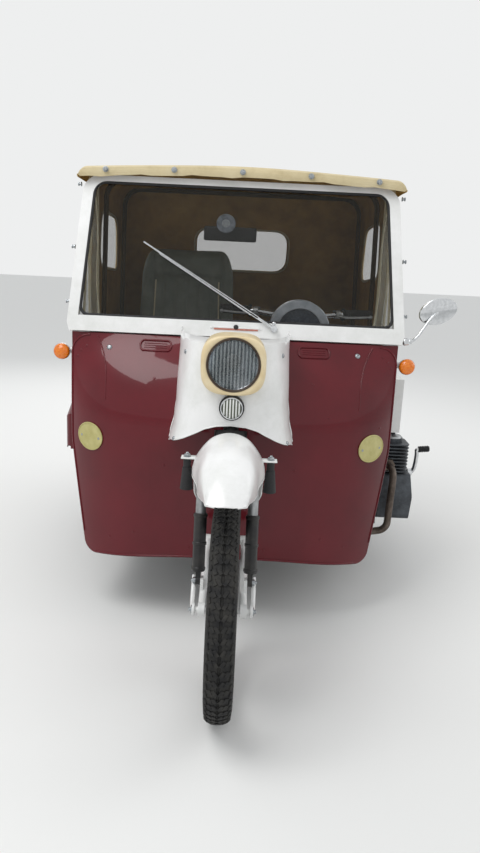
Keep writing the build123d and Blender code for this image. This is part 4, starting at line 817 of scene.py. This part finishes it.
# Direction indicators: amber lenses with moulded rings in front of white shells, each on a
# rubber foot.
# Moulded acrylic is a clear orange with a wet gloss.
amber = coat(
    "amber_acrylic", {"Scale": 200, "Detail": 3}, ((0.3, "#dd6a08"), (0.7, "#f08a1c")),
    {"Roughness": 0.12, "Coat Weight": 0.5})
lens_rings = [(0, -16), (8, -15.6)]
for ring_at in range(4):
    lens_rings += [(9 + 4 * ring_at, -15.4 + 1.3 * ring_at), (11.5 + 4 * ring_at, -14 + 1.6 * ring_at)]
lens = lathe("indicator_lens", lens_rings + [(25.5, -3), (25.5, 0), (0, 0)], (558, 596, 848), (0, 1, 0), 48)
fit(both_sides(lens), "body", amber, "amber_lens", "front_indicators")
shell = joined("indicator_shell", [
    lathe("cup", [(26, -2), (26.5, 2), (25, 12), (21, 28), (15, 40), (8, 45), (0, 46)],
          (558, 596, 848), (0, 1, 0), 40),
    lathe("neck", [(0, 0), (14, 0), (14, 4), (10, 7), (9, 24), (0, 24)], (523, 622, 848), (1, 0, 0), 32),
])
fit(both_sides(shell), "body", white, "white_paint")

# Hood: one sheet of beige canvas, brown inside, drawn over the windscreen's top, two bows and the
# tail. Windows are sewn in, and its front hem folds down over the frame under five turn-buttons.
# Cotton canvas is matt and soft, and stained unevenly by the weather.
canvas = finish("beige_cotton_canvas")
where = shade(canvas, "TexCoord").outputs["Object"]
# threads 2 mm apart, drawn coarse so that they show
warp = shade(canvas, "TexWave", {"Vector": where, "Scale": 160, "Distortion": 1}, bands_direction="X")
weft = shade(canvas, "TexWave", {"Vector": where, "Scale": 160, "Distortion": 1}, bands_direction="Y")
weave = shade(canvas, "Math", {0: warp.outputs["Fac"], 1: weft.outputs["Fac"]}, operation="ADD")
stain = shade(canvas, "TexNoise", {"Vector": where, "Scale": 6, "Detail": 9, "Roughness": 0.7})
stops = ((0.3, "#b5a47c"), (0.55, "#cfc09a"), (0.8, "#d9ccaa"))
tone = shade(canvas, "ValToRGB", {"Fac": stain.outputs["Fac"]}, stops)
lift = shade(canvas, "Bump", {"Height": weave.outputs["Value"], "Strength": 0.3, "Distance": 0.0008})
skin = shade(canvas, "BsdfPrincipled", {"Base Color": tone.outputs["Color"], "Roughness": 0.92,
                                        "Sheen Weight": 0.15, "Normal": lift.outputs["Normal"]})
shade(canvas, "OutputMaterial", {"Surface": skin.outputs["BSDF"]})
# The rubberised side is matt and blotched brown where it has worn.
lining = coat(
    "brown_rubberised_lining", {"Scale": 8, "Detail": 10, "Roughness": 0.75},
    ((0.3, "#8a6733"), (0.55, "#b08845"), (0.85, "#c7a058")), {"Roughness": 0.85})

waist, roof_crown, roof_half = 862, 18, 504
# y of the roof's middle, height there, height of the side's foot, y of the side's foot
hoop_table = [(667, 1411, 1399, 667), (664, 1424, 1396, 665), (667, 1438, 1393, 668),
              (676, 1444, 1391, 680)]
hoop_table += [(676 + (815 - 676) * n / 7, 1444 + 8 * n / 7, 1391 - n * 0.5, 680 + (815 - 680) * n / 7)
               for n in range(1, 8)]
hoop_table += [(821 + 575 * n / 30, 1452 + 5 * sin(pi * n / 30) - 16 * (n / 30) ** 2, waist,
                824 + 590 * n / 30) for n in range(31)]
hoop_table += [(1402, 1433, waist, 1424), (1411, 1422, waist, 1434)]
hoop_table += [(1411 + 221 * n / 30, 1422 - 558 * n / 30, waist, 1434 + 200 * n / 30) for n in range(1, 31)]


def hood_hoop(number):
    """One hoop of the hood, from the foot of one side over the roof to the foot of the other."""
    y, top, foot, foot_y = hoop_table[number]
    tall = max(top - roof_crown - foot, 0.5)
    lean = min(1, tall / 560)
    foot_half = 519 if foot < 1000 else 521
    corner = Vector((roof_half + 8 * (1 - lean), y, top - roof_crown))
    low = Vector((foot_half, foot_y, foot))
    radius = min(62, tall * 0.8)
    # the roof sags between the windscreen and the front bow, and between the bows
    slack = 5 * sin(pi * min(1, max(0, (y - 700) / 260) if y < 960 else (y - 960) / 400))
    start, finish_at = corner + (low - corner).normalized() * radius, corner - Vector((radius, 0, 0))
    half = [low.lerp(start, n / 16) for n in range(16)]
    half += bend(start, corner, finish_at, 8)[:-1]
    for n in range(17):
        point = finish_at.lerp(Vector((0, y, top - roof_crown)), n / 16)
        # crown of the roof, and what it sinks between the bows
        point.z += roof_crown * (1 if top > 1400 else 0.35) * (1 - (point.x / finish_at.x) ** 2)
        if top > 1435:
            point.z -= slack * (1 - (point.x / roof_half) ** 2)
        half.append(point)
    other = [Vector((-p.x, p.y, p.z)) for p in reversed(half[:-1])]
    return half + other


hood_rows = [hood_hoop(number) for number in range(len(hoop_table))]
for number, row in enumerate(hood_rows):
    for point in row:
        if 2 < number < len(hood_rows) - 1:
            # soft pulls between the bows, and a wavy hem in front
            pull = sin(point.y / 37 + point.z / 61) * sin(point.z / 83 - point.x / 97)
            side_wall = abs(point.x) > 495 and point.z < 1380
            point.x += (1.6 * pull * (1 if point.x > 0 else -1)) if side_wall else 0
            point.z += 0 if side_wall or point.z < 900 else 1.2 * pull
        elif number <= 1:
            point.z += 1.8 * sin(point.x / 31) + 1.2 * sin(point.x / 13 + 1)
hood = merged(grid("hood_sheet", hood_rows))
side_face = hood.data.polygons[len(hood.data.polygons) // 3]
if side_face.normal.dot(side_face.center - mm(0, 1000, 1150)) < 0:
    hood.data.flip_normals()
# the canvas lies over the bows, and is lifted where a bow would press through it
bow_gap = mm(7)
for vertex in hood.data.vertices:
    _, spot, out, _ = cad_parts["hood_bows"].closest_point_on_mesh(vertex.co)
    gap = (vertex.co - spot).dot(out)
    if gap < bow_gap and (vertex.co - spot).length < mm(26):
        vertex.co += vertex.normal * (bow_gap - gap)
hood = walled(hood, 2.4)
side_outline = ring_of(((985, 1118), (1335, 1098), (1295, 1292), (990, 1312)), 60, 8)
rear_outline = ring_of(((-190, 1115), (200, 1115), (200, 1280), (-190, 1280)), 60, 8)


def window_cutter(outline, low, high, across):
    """A prism through a window's outline, for cutting its opening."""
    piece = begin("circle", "window_cutter", vertices=len(outline), radius=0.1, fill_type="NGON")
    for vertex, (a, z) in zip(piece.data.vertices, outline):
        vertex.co = mm(low, a, z) if across else mm(a, low, z)
    way = mm(high - low, 0, 0) if across else mm(0, high - low, 0)
    return edit(piece, ("extrude_region_move", {"TRANSFORM_OT_translate": {"value": way}}),
                ("normals_make_consistent", {"inside": False}))


bindings, panes = [], []
for outline, side in ((side_outline, -1), (side_outline, 1), (rear_outline, 0)):
    middle = sum(outline, Vector((0, 0))) / len(outline)
    rim = []
    for point in outline:
        a, z = point + (point - middle).normalized() * 9
        start, way = ((side * 900, a, z), (-side, 0, 0)) if side else ((a, 2000, z), (0, -1, 0))
        rim.append(hood.ray_cast(mm(*start), way)[1] * 1000)
    bindings.append(rod("binding", rim, 5, closed=True))
    centre = sum(rim, Vector((0, 0, 0))) / len(rim)
    panes.append(grid("pane", [[centre + (spot - centre) * scale * 0.995 for spot in rim + [rim[0]]]
                               for scale in (1, 0.75, 0.5, 0.25, 0.001)]))
bored(hood, window_cutter(side_outline, -600, 600, True))
bored(hood, window_cutter(rear_outline, 1300, 1700, False))
hood.data.materials.append(canvas)
hood.data.materials.append(lining)
middle = mm(0, 1050, 1100)
for face in hood.data.polygons:
    inward = middle - face.center
    face.material_index = 1 if face.normal.dot(inward) > 0.25 * inward.length else 0
mount(hood, "body", "hood_fabric", "hood_canopy")
smooth(hood, 50)
# Leathercloth piping is pale and half matt.
piping = coat(
    "light_leathercloth_piping", {"Scale": 400, "Detail": 3}, ((0.3, "#bfb391"), (0.7, "#d8cfb2")),
    {"Roughness": 0.6})
fit(joined("window_bindings", bindings), "body", piping, "hood_fabric")
# Vinyl film is clear but a little milky, and its slow ripples catch the light.
film = coat(
    "clear_vinyl_film", {"Scale": 9, "Detail": 3}, ((0.3, "#cfd0bf"), (0.7, "#e6e8dd")),
    {"Roughness": 0.08, "Alpha": 0.3}, raised=(0.5, 0.01))
fit(joined("hood_windows", panes), "body", film, "clear_film", "clear_windows")

# Turn-buttons: plated knobs on round plates, riveted along the front hem and down the windscreen's
# posts. They hold the edges of the hood and the curtains.
buttons = []
for x in (-430, -215, 0, 215, 430):
    spot = Vector((x, 663, 1427 - 10 * (x / 430) ** 2))
    buttons.append(lathe("button", [(0, 0), (9, 0), (9, 1.5), (5, 2), (5, 5), (7, 6), (7, 9), (0, 10)],
                         spot, (0, -1, 0.1), 24))
for x, z in ((513, 1375), (524, 1180), (534, 1010)):
    spot = on_screen(x, z, -11)
    buttons += [lathe("post_button", [(0, 0), (7, 0), (7, 2), (4, 3), (4, 7), (6, 8), (6, 11), (0, 12)],
                      (side * spot.x, spot.y, spot.z), (side, 0, 0), 20) for side in (-1, 1)]
fit(joined("turn_buttons", buttons), "body", zinc, "bright_steel")

# Weather curtains: clear film hung between the windscreen's posts and the hood, gathered a little,
# each with a cream hem sewn round it.
sill, head = 946, 1384
for side, word in ((-1, "right"), (1, "left")):
    rows = []
    for step in range(25):
        part = step / 24
        z = sill + (head - sill) * part
        front_y = 575 + (z - 920) * tan(screen_lean) + 26
        row = []
        for column in range(25):
            across = column / 24
            y = front_y + (842 - front_y) * across
            wave = 9 * sin(across * 11 + part * 2.5) * (1 - part) ** 0.7 + 4 * sin(part * 9 + across * 3)
            row.append((side * (490 - max(0, 6 + wave) * min(1, 4 * across, 4 * (1.02 - across))), y, z))
        rows.append(row)
    curtain = walled(grid("curtain", rows), 0.6, 0)
    fit(curtain, "body", film, "clear_film")
    curtain.name = f"weather_curtain_{word}"
    edge = rows[0] + [row[-1] for row in rows[1:]] + rows[-1][-2::-1] + [row[0] for row in rows[-2:0:-1]]
    hem = rod(f"curtain_hem_{word}", edge, 4, closed=True)
    inner = [row[17] for row in rows]
    hem = joined(f"curtain_hem_{word}", [hem, rod("strap", inner, 3)])
    fit(hem, "body", piping, "hood_fabric")

# Hood bows: bent steel tube in sewn sleeves of the lining cloth, coloured dark brown as painted
# shade, so that they show as the dark lines of the bows' shadows inside the hood.
# The cloth is without shine, and its dark colour is painted shade.
bow_sleeves_painted_shade = coat(
    "bow_sleeves_dark_painted_shade", {"Scale": 220, "Detail": 3}, ((0.3, "#33260f"), (0.7, "#4a381c")),
    {"Roughness": 0.9})
dress(bow_sleeves_painted_shade, "hood_bows")

# Seats: moulded foam under grey-green leathercloth. The passenger's tall back has side bolsters
# edged with light piping and sewn channels between them; the driver's is low and plain.
# Leathercloth is half matt, its pebbled grain of 2.4 mm drawn coarse so that it shows.
leathercloth = coat(
    "grey_green_leathercloth", {"Scale": 12, "Detail": 8, "Roughness": 0.7},
    ((0.3, "#5b625b"), (0.6, "#767d74"), (0.85, "#8e948a")), {"Roughness": 0.5},
    raised=(0.3, 0.0006, {"Scale": 420}, "TexVoronoi"))


def stuffed(name, low, high, lean, crease, cap=9):
    """A foam pad between two corners in millimetres: blown up as cloth, then leant and creased in code."""
    piece = bar(name, [v + cap * 0.6 for v in low], [v - cap * 0.6 for v in high],
                min(30, 0.3 * (high[1] - low[1])), 4)
    modified(piece, "REMESH", mode="VOXEL", voxel_size=mm(6))
    for vertex in piece.data.vertices:
        vertex.co = lean(vertex.co * 1000) / 1000
    start = [vertex.co.copy() for vertex in piece.data.vertices]
    cloth = piece.modifiers.new("cloth", "CLOTH")
    cloth.settings.use_pressure = True
    cloth.settings.uniform_pressure_force = 4
    cloth.settings.effector_weights.gravity = 0
    for frame_number in range(1, 21):
        bpy.context.scene.frame_set(frame_number)
    blown = piece.evaluated_get(bpy.context.evaluated_depsgraph_get()).data
    moved = [vertex.co.copy() for vertex in blown.vertices]
    piece.modifiers.remove(cloth)
    bpy.context.scene.frame_set(1)
    for vertex, first, then in zip(piece.data.vertices, start, moved):
        step = then - first
        vertex.co = first + step * min(1, mm(cap) / max(step.length, 1e-9))
    modified(piece, "SUBSURF", levels=1, render_levels=1)
    for vertex in piece.data.vertices:
        vertex.co = crease(vertex.co * 1000) / 1000
    return smooth(piece, 60)


def seat_back(name, middle_x, width, top):
    """One seat's back."""
    def lean(point):
        rise = max(0, point.z - 520)
        near_top = max(0, (point.z - (top - 130)) / 130)
        narrow = 1 - 0.14 * rise / (top - 520) - 0.16 * near_top ** 2.2
        return Vector((middle_x + (point.x - middle_x) * narrow, point.y + 0.12 * (point.z - 480), point.z))

    def crease(point):
        across = abs(point.x - middle_x) / (width / 2)
        front = 1 if point.y < 1100 + 0.12 * (point.z - 480) else 0
        bolster = exp(-((across - 0.82) / 0.14) ** 2) * 16
        seam = 7 * exp(-((across - 0.62) / 0.035) ** 2)
        for line in (0, 0.22, 0.43):
            seam += 4.5 * exp(-((across - line) / 0.028) ** 2) * (1 if point.z < top - 110 else 0)
        seam += 5 * exp(-((point.z - (top - 110)) / 6) ** 2) * (1 if across < 0.62 else 0)
        return point + Vector((0, (seam - bolster) * front, 0))

    return stuffed(name, (middle_x - width / 2, 1060, 522), (middle_x + width / 2, 1140, top), lean, crease)


def seat_cushion(name, middle_x, width):
    """One seat's cushion."""
    def crease(point):
        across, upper = abs(point.x - middle_x) / (width / 2), 1 if point.z > 470 else 0
        seam = 6 * exp(-((across - 0.68) / 0.035) ** 2)
        for line in (0, 0.24, 0.48):
            seam += 4 * exp(-((across - line) / 0.03) ** 2)
        return point - Vector((0, 0, seam * upper))

    return stuffed(name, (middle_x - width / 2, 790, 420.5), (middle_x + width / 2, 1100, 520),
                   lambda point: point, crease)


for seat, middle_x, width, top in (("passenger", -200, 430, 1200), ("driver", 218, 394, 820)):
    back = seat_back(seat + "_seat_back", middle_x, width, top)
    pad = seat_cushion(seat + "_seat_cushion", middle_x, width)
    fit(back, "body", leathercloth, "seat_cloth", seat + "_seat")
    fit(pad, "body", leathercloth, "seat_cloth")
    edges = []
    for side in (-1, 1):
        line = []
        for step in range(17):
            z = 560 + (top - 130 - 560) * step / 16
            narrow = 1 - 0.14 * (z - 520) / (top - 520)
            hit, spot, _, _ = back.ray_cast(mm(middle_x + side * 0.64 * narrow * width / 2, 700, z),
                                            (0, 1, 0))
            if hit:
                line.append(spot * 1000 + Vector((0, 1, 0)))
        edges.append(rod("piping", line, 3.2, curved=True))
    fit(joined(seat + "_seat_piping", edges), "body", piping, "seat_cloth")

# Instrument: a half-round nacelle on the shelf, with a bright pressed hoop round a dark face, and
# the speedometer's dial towards the driver.
# Hammered paint shows rounded flecks 6 mm wide.
face_paint = coat(
    "blue_grey_hammered_paint", {"Scale": 160}, ((0.2, "#343b46"), (0.8, "#4b5462")), {"Roughness": 0.4},
    kind="TexVoronoi")
# Brushed aluminium is bright, with fine lines along the strip.
bright = coat(
    "brushed_aluminium_trim", {"Scale": 1, "Detail": 3}, ((0.3, "#a9b0b8"), (0.7, "#ccd2d8")),
    {"Metallic": 0.35, "Roughness": 0.3}, stretch=(30, 900, 30))
shelf_z = 914.8


def cut_level(piece, z):
    """Takes off and closes what is below one height."""
    return edit(piece, ("bisect", {"plane_co": mm(0, 0, z), "plane_no": (0, 0, 1), "use_fill": True,
                                   "clear_inner": True}))


pod = (208, 648, 942)
hoop = lathe("pod_hoop", [(72, 2), (74, 0), (97, 0), (100, 4), (100, 46), (97, 50), (72, 50), (72, 2)],
             pod, (0, 1, 0), 96)
fit(cut_level(hoop, shelf_z), "body", bright, "chrome", "instrument_pod")
studs = []
for angle in (-72, 0, 72):
    out = Vector((sin(radians(angle)), 0, cos(radians(angle))))
    studs.append(screw(Vector((208, 662, 942)) + out * 100.2, out, 3.2, "flat"))
fit(joined("hoop_screws", studs), "body", black, "black_paint")
face = lathe("pod_face", [(0, 8), (72.5, 8), (72.5, 47), (0, 47)], pod, (0, 1, 0), 64)
fit(cut_level(face, shelf_z), "body", face_paint, "black_paint")
dial = joined("speedometer", [
    lathe("dial_rim", [(44, 46), (48, 46), (49, 52), (46, 55), (43, 53), (44, 46)], (208, 648, 968),
          (0, 1, 0), 64),
    rod("needle", [(208, 701, 968), (232, 701, 990)], 1.2),
])
fit(dial, "body", chrome, "chrome")

# Hand levers: polished alloy levers on clamps ahead of both grips, ball-ended, and ribbed flanges
# on the grips themselves.
levers, flanges = [], []
ribs = [(14.9, 12), (21, 12.5), (22, 14), (21, 15.5), (15, 17)]
for rib in range(11):
    ribs += [(15, 20 + 9 * rib), (16.6, 22 + 9 * rib), (16.6, 24 + 9 * rib), (15, 26 + 9 * rib)]
for outer_x, inner_x, way in ((-54, 58, -1), (470, 358, 1)):
    outer, inner = Vector((outer_x, 862, 990)), Vector((inner_x, 810, 990))
    run = (outer - inner).normalized()
    clamp_at, ball_at = inner - run * 12, outer + Vector((0, -34, -6))
    levers += [lathe("lever_clamp", [(11.3, -9), (15, -9), (15, 9), (11.3, 9)], clamp_at, run, 24),
               rod("lever", [clamp_at + Vector((0, -16, -4)), clamp_at + Vector((way * 14, -30, -6)),
                             inner + run * 40 + Vector((0, -40, -8)), ball_at], 4, curved=True),
               lathe("lever_ball", [(0, -7), (5, -5), (7, 0), (5, 5), (0, 7)], ball_at, (0, 0, 1), 20)]
    flanges.append(lathe("grip_ribs", ribs, inner, run, 32))
fit(joined("hand_levers", levers), "handlebar", alloy, "chrome")
fit(joined("grip_ribs", flanges), "handlebar", soft_rubber, "black_rubber")

# Engine: a sand-cast crankcase with a turned clutch cover, plug and cap on a black finned
# cylinder, and a small carburettor behind it.
# Sand-cast aluminium is dark and half dull, with the grain of the sand.
casting = coat(
    "sand_cast_aluminium", {"Scale": 14, "Detail": 8, "Roughness": 0.7},
    ((0.3, "#2a2b2d"), (0.6, "#53575c"), (0.85, "#6a6e73")), {"Metallic": 0.6, "Roughness": 0.5},
    raised=(0.4, 0.0008, {"Scale": 400, "Detail": 4}))
dress(casting, "engine")
cover = [
    lathe("clutch_cover", [(0, 0), (58, 0), (58, 4), (54, 9), (30, 11), (26, 8), (0, 8)],
          (687, 985, 306), (1, 0, 0), 64),
    lathe("sprocket_cover", [(0, 0), (34, 0), (34, 3), (30, 7), (0, 8)], (687, 900, 306), (1, 0, 0), 48),
    lathe("carburettor", [(0, 0), (16, 0), (16, 8), (22, 10), (22, 40), (18, 44), (26, 46), (26, 60),
                          (0, 60)], (620, 1024, 470), (0, 1, 0), 32),
    lathe("head_dome", [(0, 0), (36, 0), (32, 8), (14, 14), (0, 15)], (620, 966, 522), (0, 0, 1), 40),
    *[screw((696, y, z), (1, 0, 0), 4.5, "flat") for y, z in circle(985, 306, 50, range(0, 360, 60))],
]
fit(joined("engine_covers", cover), "body", alloy, "engine_alloy")
plug = lathe("spark_plug_cap", [(0, 12), (9, 12), (9, 18), (7, 20), (8, 34), (6, 38), (0, 38)],
             (620, 966, 522), (0, 0, 1), 24)
fit(plug, "body", soft_rubber, "black_rubber")

# Kick starter: a chromed crank, bent from steel rod, on a splined boss, with a ribbed rubber pedal
# pushed onto its end.
boss = lathe("kick_boss", [(0, 0), (15, 0), (15, 14), (12, 17), (0, 17)], (688.5, 960, 385), (1, 0, 0), 32)
crank = rod("kick_crank", [(700, 960, 385), (712, 958, 392), (714, 944, 436), (712, 932, 474),
                           (708, 930, 486), (722, 930, 487)], 8, curved=True)
fit(joined("kick_crank", [boss, crank]), "body", chrome, "bright_steel", "kick_starter")
pedal = [(0, 0), (10, 0)]
for rib in range(6):
    pedal += [(10, 2 + 6.5 * rib), (12.2, 3 + 6.5 * rib), (12.2, 5.5 + 6.5 * rib), (10, 6.5 + 6.5 * rib)]
fit(lathe("kick_pedal", pedal + [(10, 42), (0, 42)], (714, 930, 486.5), (1, 0, 0.1), 32), "body",
    soft_rubber, "black_rubber")

# Exhaust: a mild-steel header and silencer, browned by heat, with rolled rings, a bolted flange and
# a tail spout.
# Heated steel goes brown and grey in blotches, half dull.
burnt = coat(
    "heat_browned_steel", {"Scale": 30, "Detail": 9, "Roughness": 0.7},
    ((0.3, "#453c35"), (0.6, "#6b6058"), (0.85, "#8a7f74")), {"Metallic": 0.7, "Roughness": 0.5})
dress(burnt, "exhaust")
rings = [lathe("silencer_ring", [(35.8, 0), (38.5, 1), (38.5, 5), (35.8, 6)], (400, y, 160),
               (0, 1, 0), 48) for y in (1152, 1350, 1562)]
rings += [lathe("spout", [(9, 0), (12, 0), (12, 60), (10, 60), (9, 0)], (400, 1568, 150), (0, 1, -0.05),
                24),
          lathe("flange", [(13.2, 0), (24, 0), (24, 6), (13.2, 6)], (600, 898, 430), (0, -1, 0), 6)]
fit(joined("exhaust_rings", rings), "body", burnt, "exhaust_steel")

# Rear suspension: coil springs of painted wire round the units, each seated between two pressed
# cups.
springs = []
for side in (-1, 1):
    turns = circle(side * 447, 1395, 21.5, range(0, 9 * 360 + 1, 20))
    coil = [(x, y, 312 + 270 * n / 162) for n, (x, y) in enumerate(turns)]
    springs.append(rod("spring", coil, 3.2, rings=2))
    springs += [lathe("cup", [(18.2, 0), (26, 0), (26, 5), (18.2, 3)], (side * 447, 1395, z),
                      (0, 0, 1), 32) for z in (304, 586)]
fit(joined("rear_springs", springs), "body", black, "black_paint")

# Tail lamps: ribbed red lenses, moulded in one piece, on black rubber bases, one on the back of
# each wing.
# Moulded acrylic is a deep red gloss, with level ribs. The lighter and darker red bands along the
# ribs in its colour are painted light.
red = coat(
    "red_acrylic", {"Scale": 60}, ((0.3, "#8c0d0a"), (0.7, "#b81a12")),
    {"Roughness": 0.14, "Coat Weight": 0.5}, raised=(0.4, 0.001), kind="TexWave", bands_direction="Z")
tilt = Matrix.Rotation(radians(-6.6), 4, "X")
seat_at = Matrix.Translation(mm(567, 1865.5, 466))
lens = bar("tail_lens", (-27, 8, -34), (27, 33, 34), 7, 4)
lens.data.transform(seat_at @ tilt)
fit(both_sides(lens), "body", red, "red_lens", "tail_lamps")
base = bar("tail_lamp_base", (-31, 0.4, -38), (31, 10, 38), 3, 3)
base.data.transform(seat_at @ tilt)
fit(both_sides(base), "body", soft_rubber, "black_rubber")

# Number plate and rear trim: a black frame round the blank plate under a small lamp, and black
# piping between the wings and the body.
tail_out = Vector((0, 0.791, 0.612))
tail_up = Vector((0, -0.612, 0.791))
plate_middle = Vector((0, 1764, 710)) + tail_out * 2
corners = [plate_middle + Vector((x, 0, 0)) + tail_up * up
           for x, up in ((-118, -98), (118, -98), (118, 98), (-118, 98))]
trim = [rod("plate_frame", corners, 3.5, closed=True)]
trim += [screw(plate_middle + Vector((x, 0, 0)) + tail_up * 70, tail_out, 5, "dome") for x in (-80, 80)]
hood_of_lamp = lathe("plate_lamp", [(0, 0), (16, 0), (16, 18), (12, 24), (0, 24)],
                     plate_middle + tail_up * 112 - tail_out * 2, tail_out, 32)
fit(joined("plate_trim", trim + [hood_of_lamp]), "body", black, "black_paint")
for side in (-1, 1):
    wing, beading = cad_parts["rear_wing_right" if side < 0 else "rear_wing_left"], []
    for y in range(960, 1700, 20):
        hit, spot, _, _ = wing.ray_cast(mm(side * 530, y, 1200), (0, 0, -1))
        if hit:
            beading.append((side * 527, y, spot.z * 1000 + 2))
    fit(rod("wing_piping", beading, 3.6, curved=True), "body", soft_rubber, "black_rubber")

# Pressed lines and edges: a swage down each side of the leg shield, a rolled bead round each
# wheel opening, and fixings and a lift-off knob on the engine panel.
swage_line = ((438, 905), (422, 875), (411, 848), (403, 820), (399, 790), (397, 755), (397, 719))
for side in (-1, 1):
    swage = [from_front("front_shield", side * x, z)[0] for x, z in swage_line]
    fit(rod("shield_swage", swage, 2.2, curved=True), "body", burgundy, "burgundy_paint")
    arc = [(side * 636.6, y, z) for y, z in circle(1450, 275, 312.5, range(28, 150, 4))]
    fit(rod("wheel_opening_bead", arc, 3, curved=True), "body", burgundy, "burgundy_paint")
panel_bits = [screw((636.2, y, z), (1, 0, 0), 5, "dome") for y in (944, 1116) for z in (562, 738)]
panel_bits += [lathe("panel_knob", [(0, 0), (12, 0), (12, 3), (6, 5), (6, 12), (10, 14), (10, 18), (0, 19)],
                     (636, 1030, 700), (1, 0, 0), 32)]
fit(joined("engine_panel_fixings", panel_bits), "body", zinc, "chrome")

# Floor mat: black rubber moulded with long ribs, laid loose on the floor pan between the shield and
# the seat box.
mat = bar("floor_mat", (-420, 560, 233.5), (420, 815, 236.5), 1, 2)
ribs = [bar("mat_rib", (x - 3, 566, 236), (x + 3, 809, 239), 1, 1) for x in range(-408, 409, 17)]
fit(joined("floor_mat", [mat] + ribs), "body", soft_rubber, "black_rubber")

# Studio: a pale floor, an even bright sky, one soft panel overhead on the right side's front and
# weak panels at the side and back. The camera stands where the photograph's stood.
ground = begin("plane", "studio_floor", size=60)
# Floor paint is pale and matt.
floor_paint = finish("pale_floor_paint")
skin = shade(floor_paint, "BsdfPrincipled", {"Base Color": linear("#ececea"), "Roughness": 0.9})
shade(floor_paint, "OutputMaterial", {"Surface": skin.outputs["BSDF"]})
ground.data.materials.append(floor_paint)

world = bpy.data.worlds.new("overcast_sky")
bpy.context.scene.world = world
world.use_nodes = True
world.node_tree.nodes.clear()
rays = shade(world, "LightPath").outputs
seen = shade(world, "Background", {"Color": linear("#eeefef")})
lighting = shade(world, "Background", {"Color": linear("#f4f6f8"), "Strength": 0.78})
first = shade(world, "Math", {0: rays["Is Camera Ray"], 1: rays["Is Transmission Ray"]},
              operation="MAXIMUM")
either = shade(world, "Math", {0: first.outputs["Value"], 1: rays["Is Glossy Ray"]}, operation="MAXIMUM")
pick = shade(world, "MixShader", {"Fac": either.outputs["Value"], 1: lighting.outputs["Background"],
                                  2: seen.outputs["Background"]})
shade(world, "OutputWorld", {"Surface": pick.outputs["Shader"]})

for name, spot, aim, size, power in (
    ("sky_panel", (-1.5, -0.7, 3.6), (-0.3, 0.5, 0.8), 1.9, 55),
    ("side_panel", (3.6, 1.4, 2.4), (0, 0.8, 0.7), 2.5, 25),
    ("rear_panel", (-1, 4.6, 3), (0, 1, 0.8), 3, 40),
):
    lamp_object = bpy.data.objects.new(name, bpy.data.lights.new(name, "AREA"))
    lamp_object.data.size = size
    lamp_object.data.energy = power
    lamp_object.location = spot
    lamp_object.rotation_euler = (Vector(aim) - Vector(spot)).to_track_quat("-Z", "Y").to_euler()
    bpy.context.scene.collection.objects.link(lamp_object)

pitch, roll, yaw = radians(13.5), radians(2.7), radians(-0.4)
ahead = Vector((-sin(yaw) * cos(pitch), cos(yaw) * cos(pitch), -sin(pitch)))
level = ahead.cross(Vector((0, 0, 1))).normalized()
upright = level.cross(ahead)
rightward = level * cos(roll) + upright * sin(roll)
upward = upright * cos(roll) - level * sin(roll)
camera = bpy.data.objects.new("camera", bpy.data.cameras.new("camera"))
focal_pixels, photo_height = 700, 853
camera.data.sensor_width = 36
camera.data.lens = focal_pixels / photo_height * camera.data.sensor_width
camera.matrix_world = Matrix((
    (rightward.x, upward.x, -ahead.x, 0.012),
    (rightward.y, upward.y, -ahead.y, -1.655),
    (rightward.z, upward.z, -ahead.z, 1.165),
    (0, 0, 0, 1),
))
bpy.context.scene.collection.objects.link(camera)
bpy.context.scene.camera = camera
bpy.context.scene.view_settings.view_transform = "Standard"
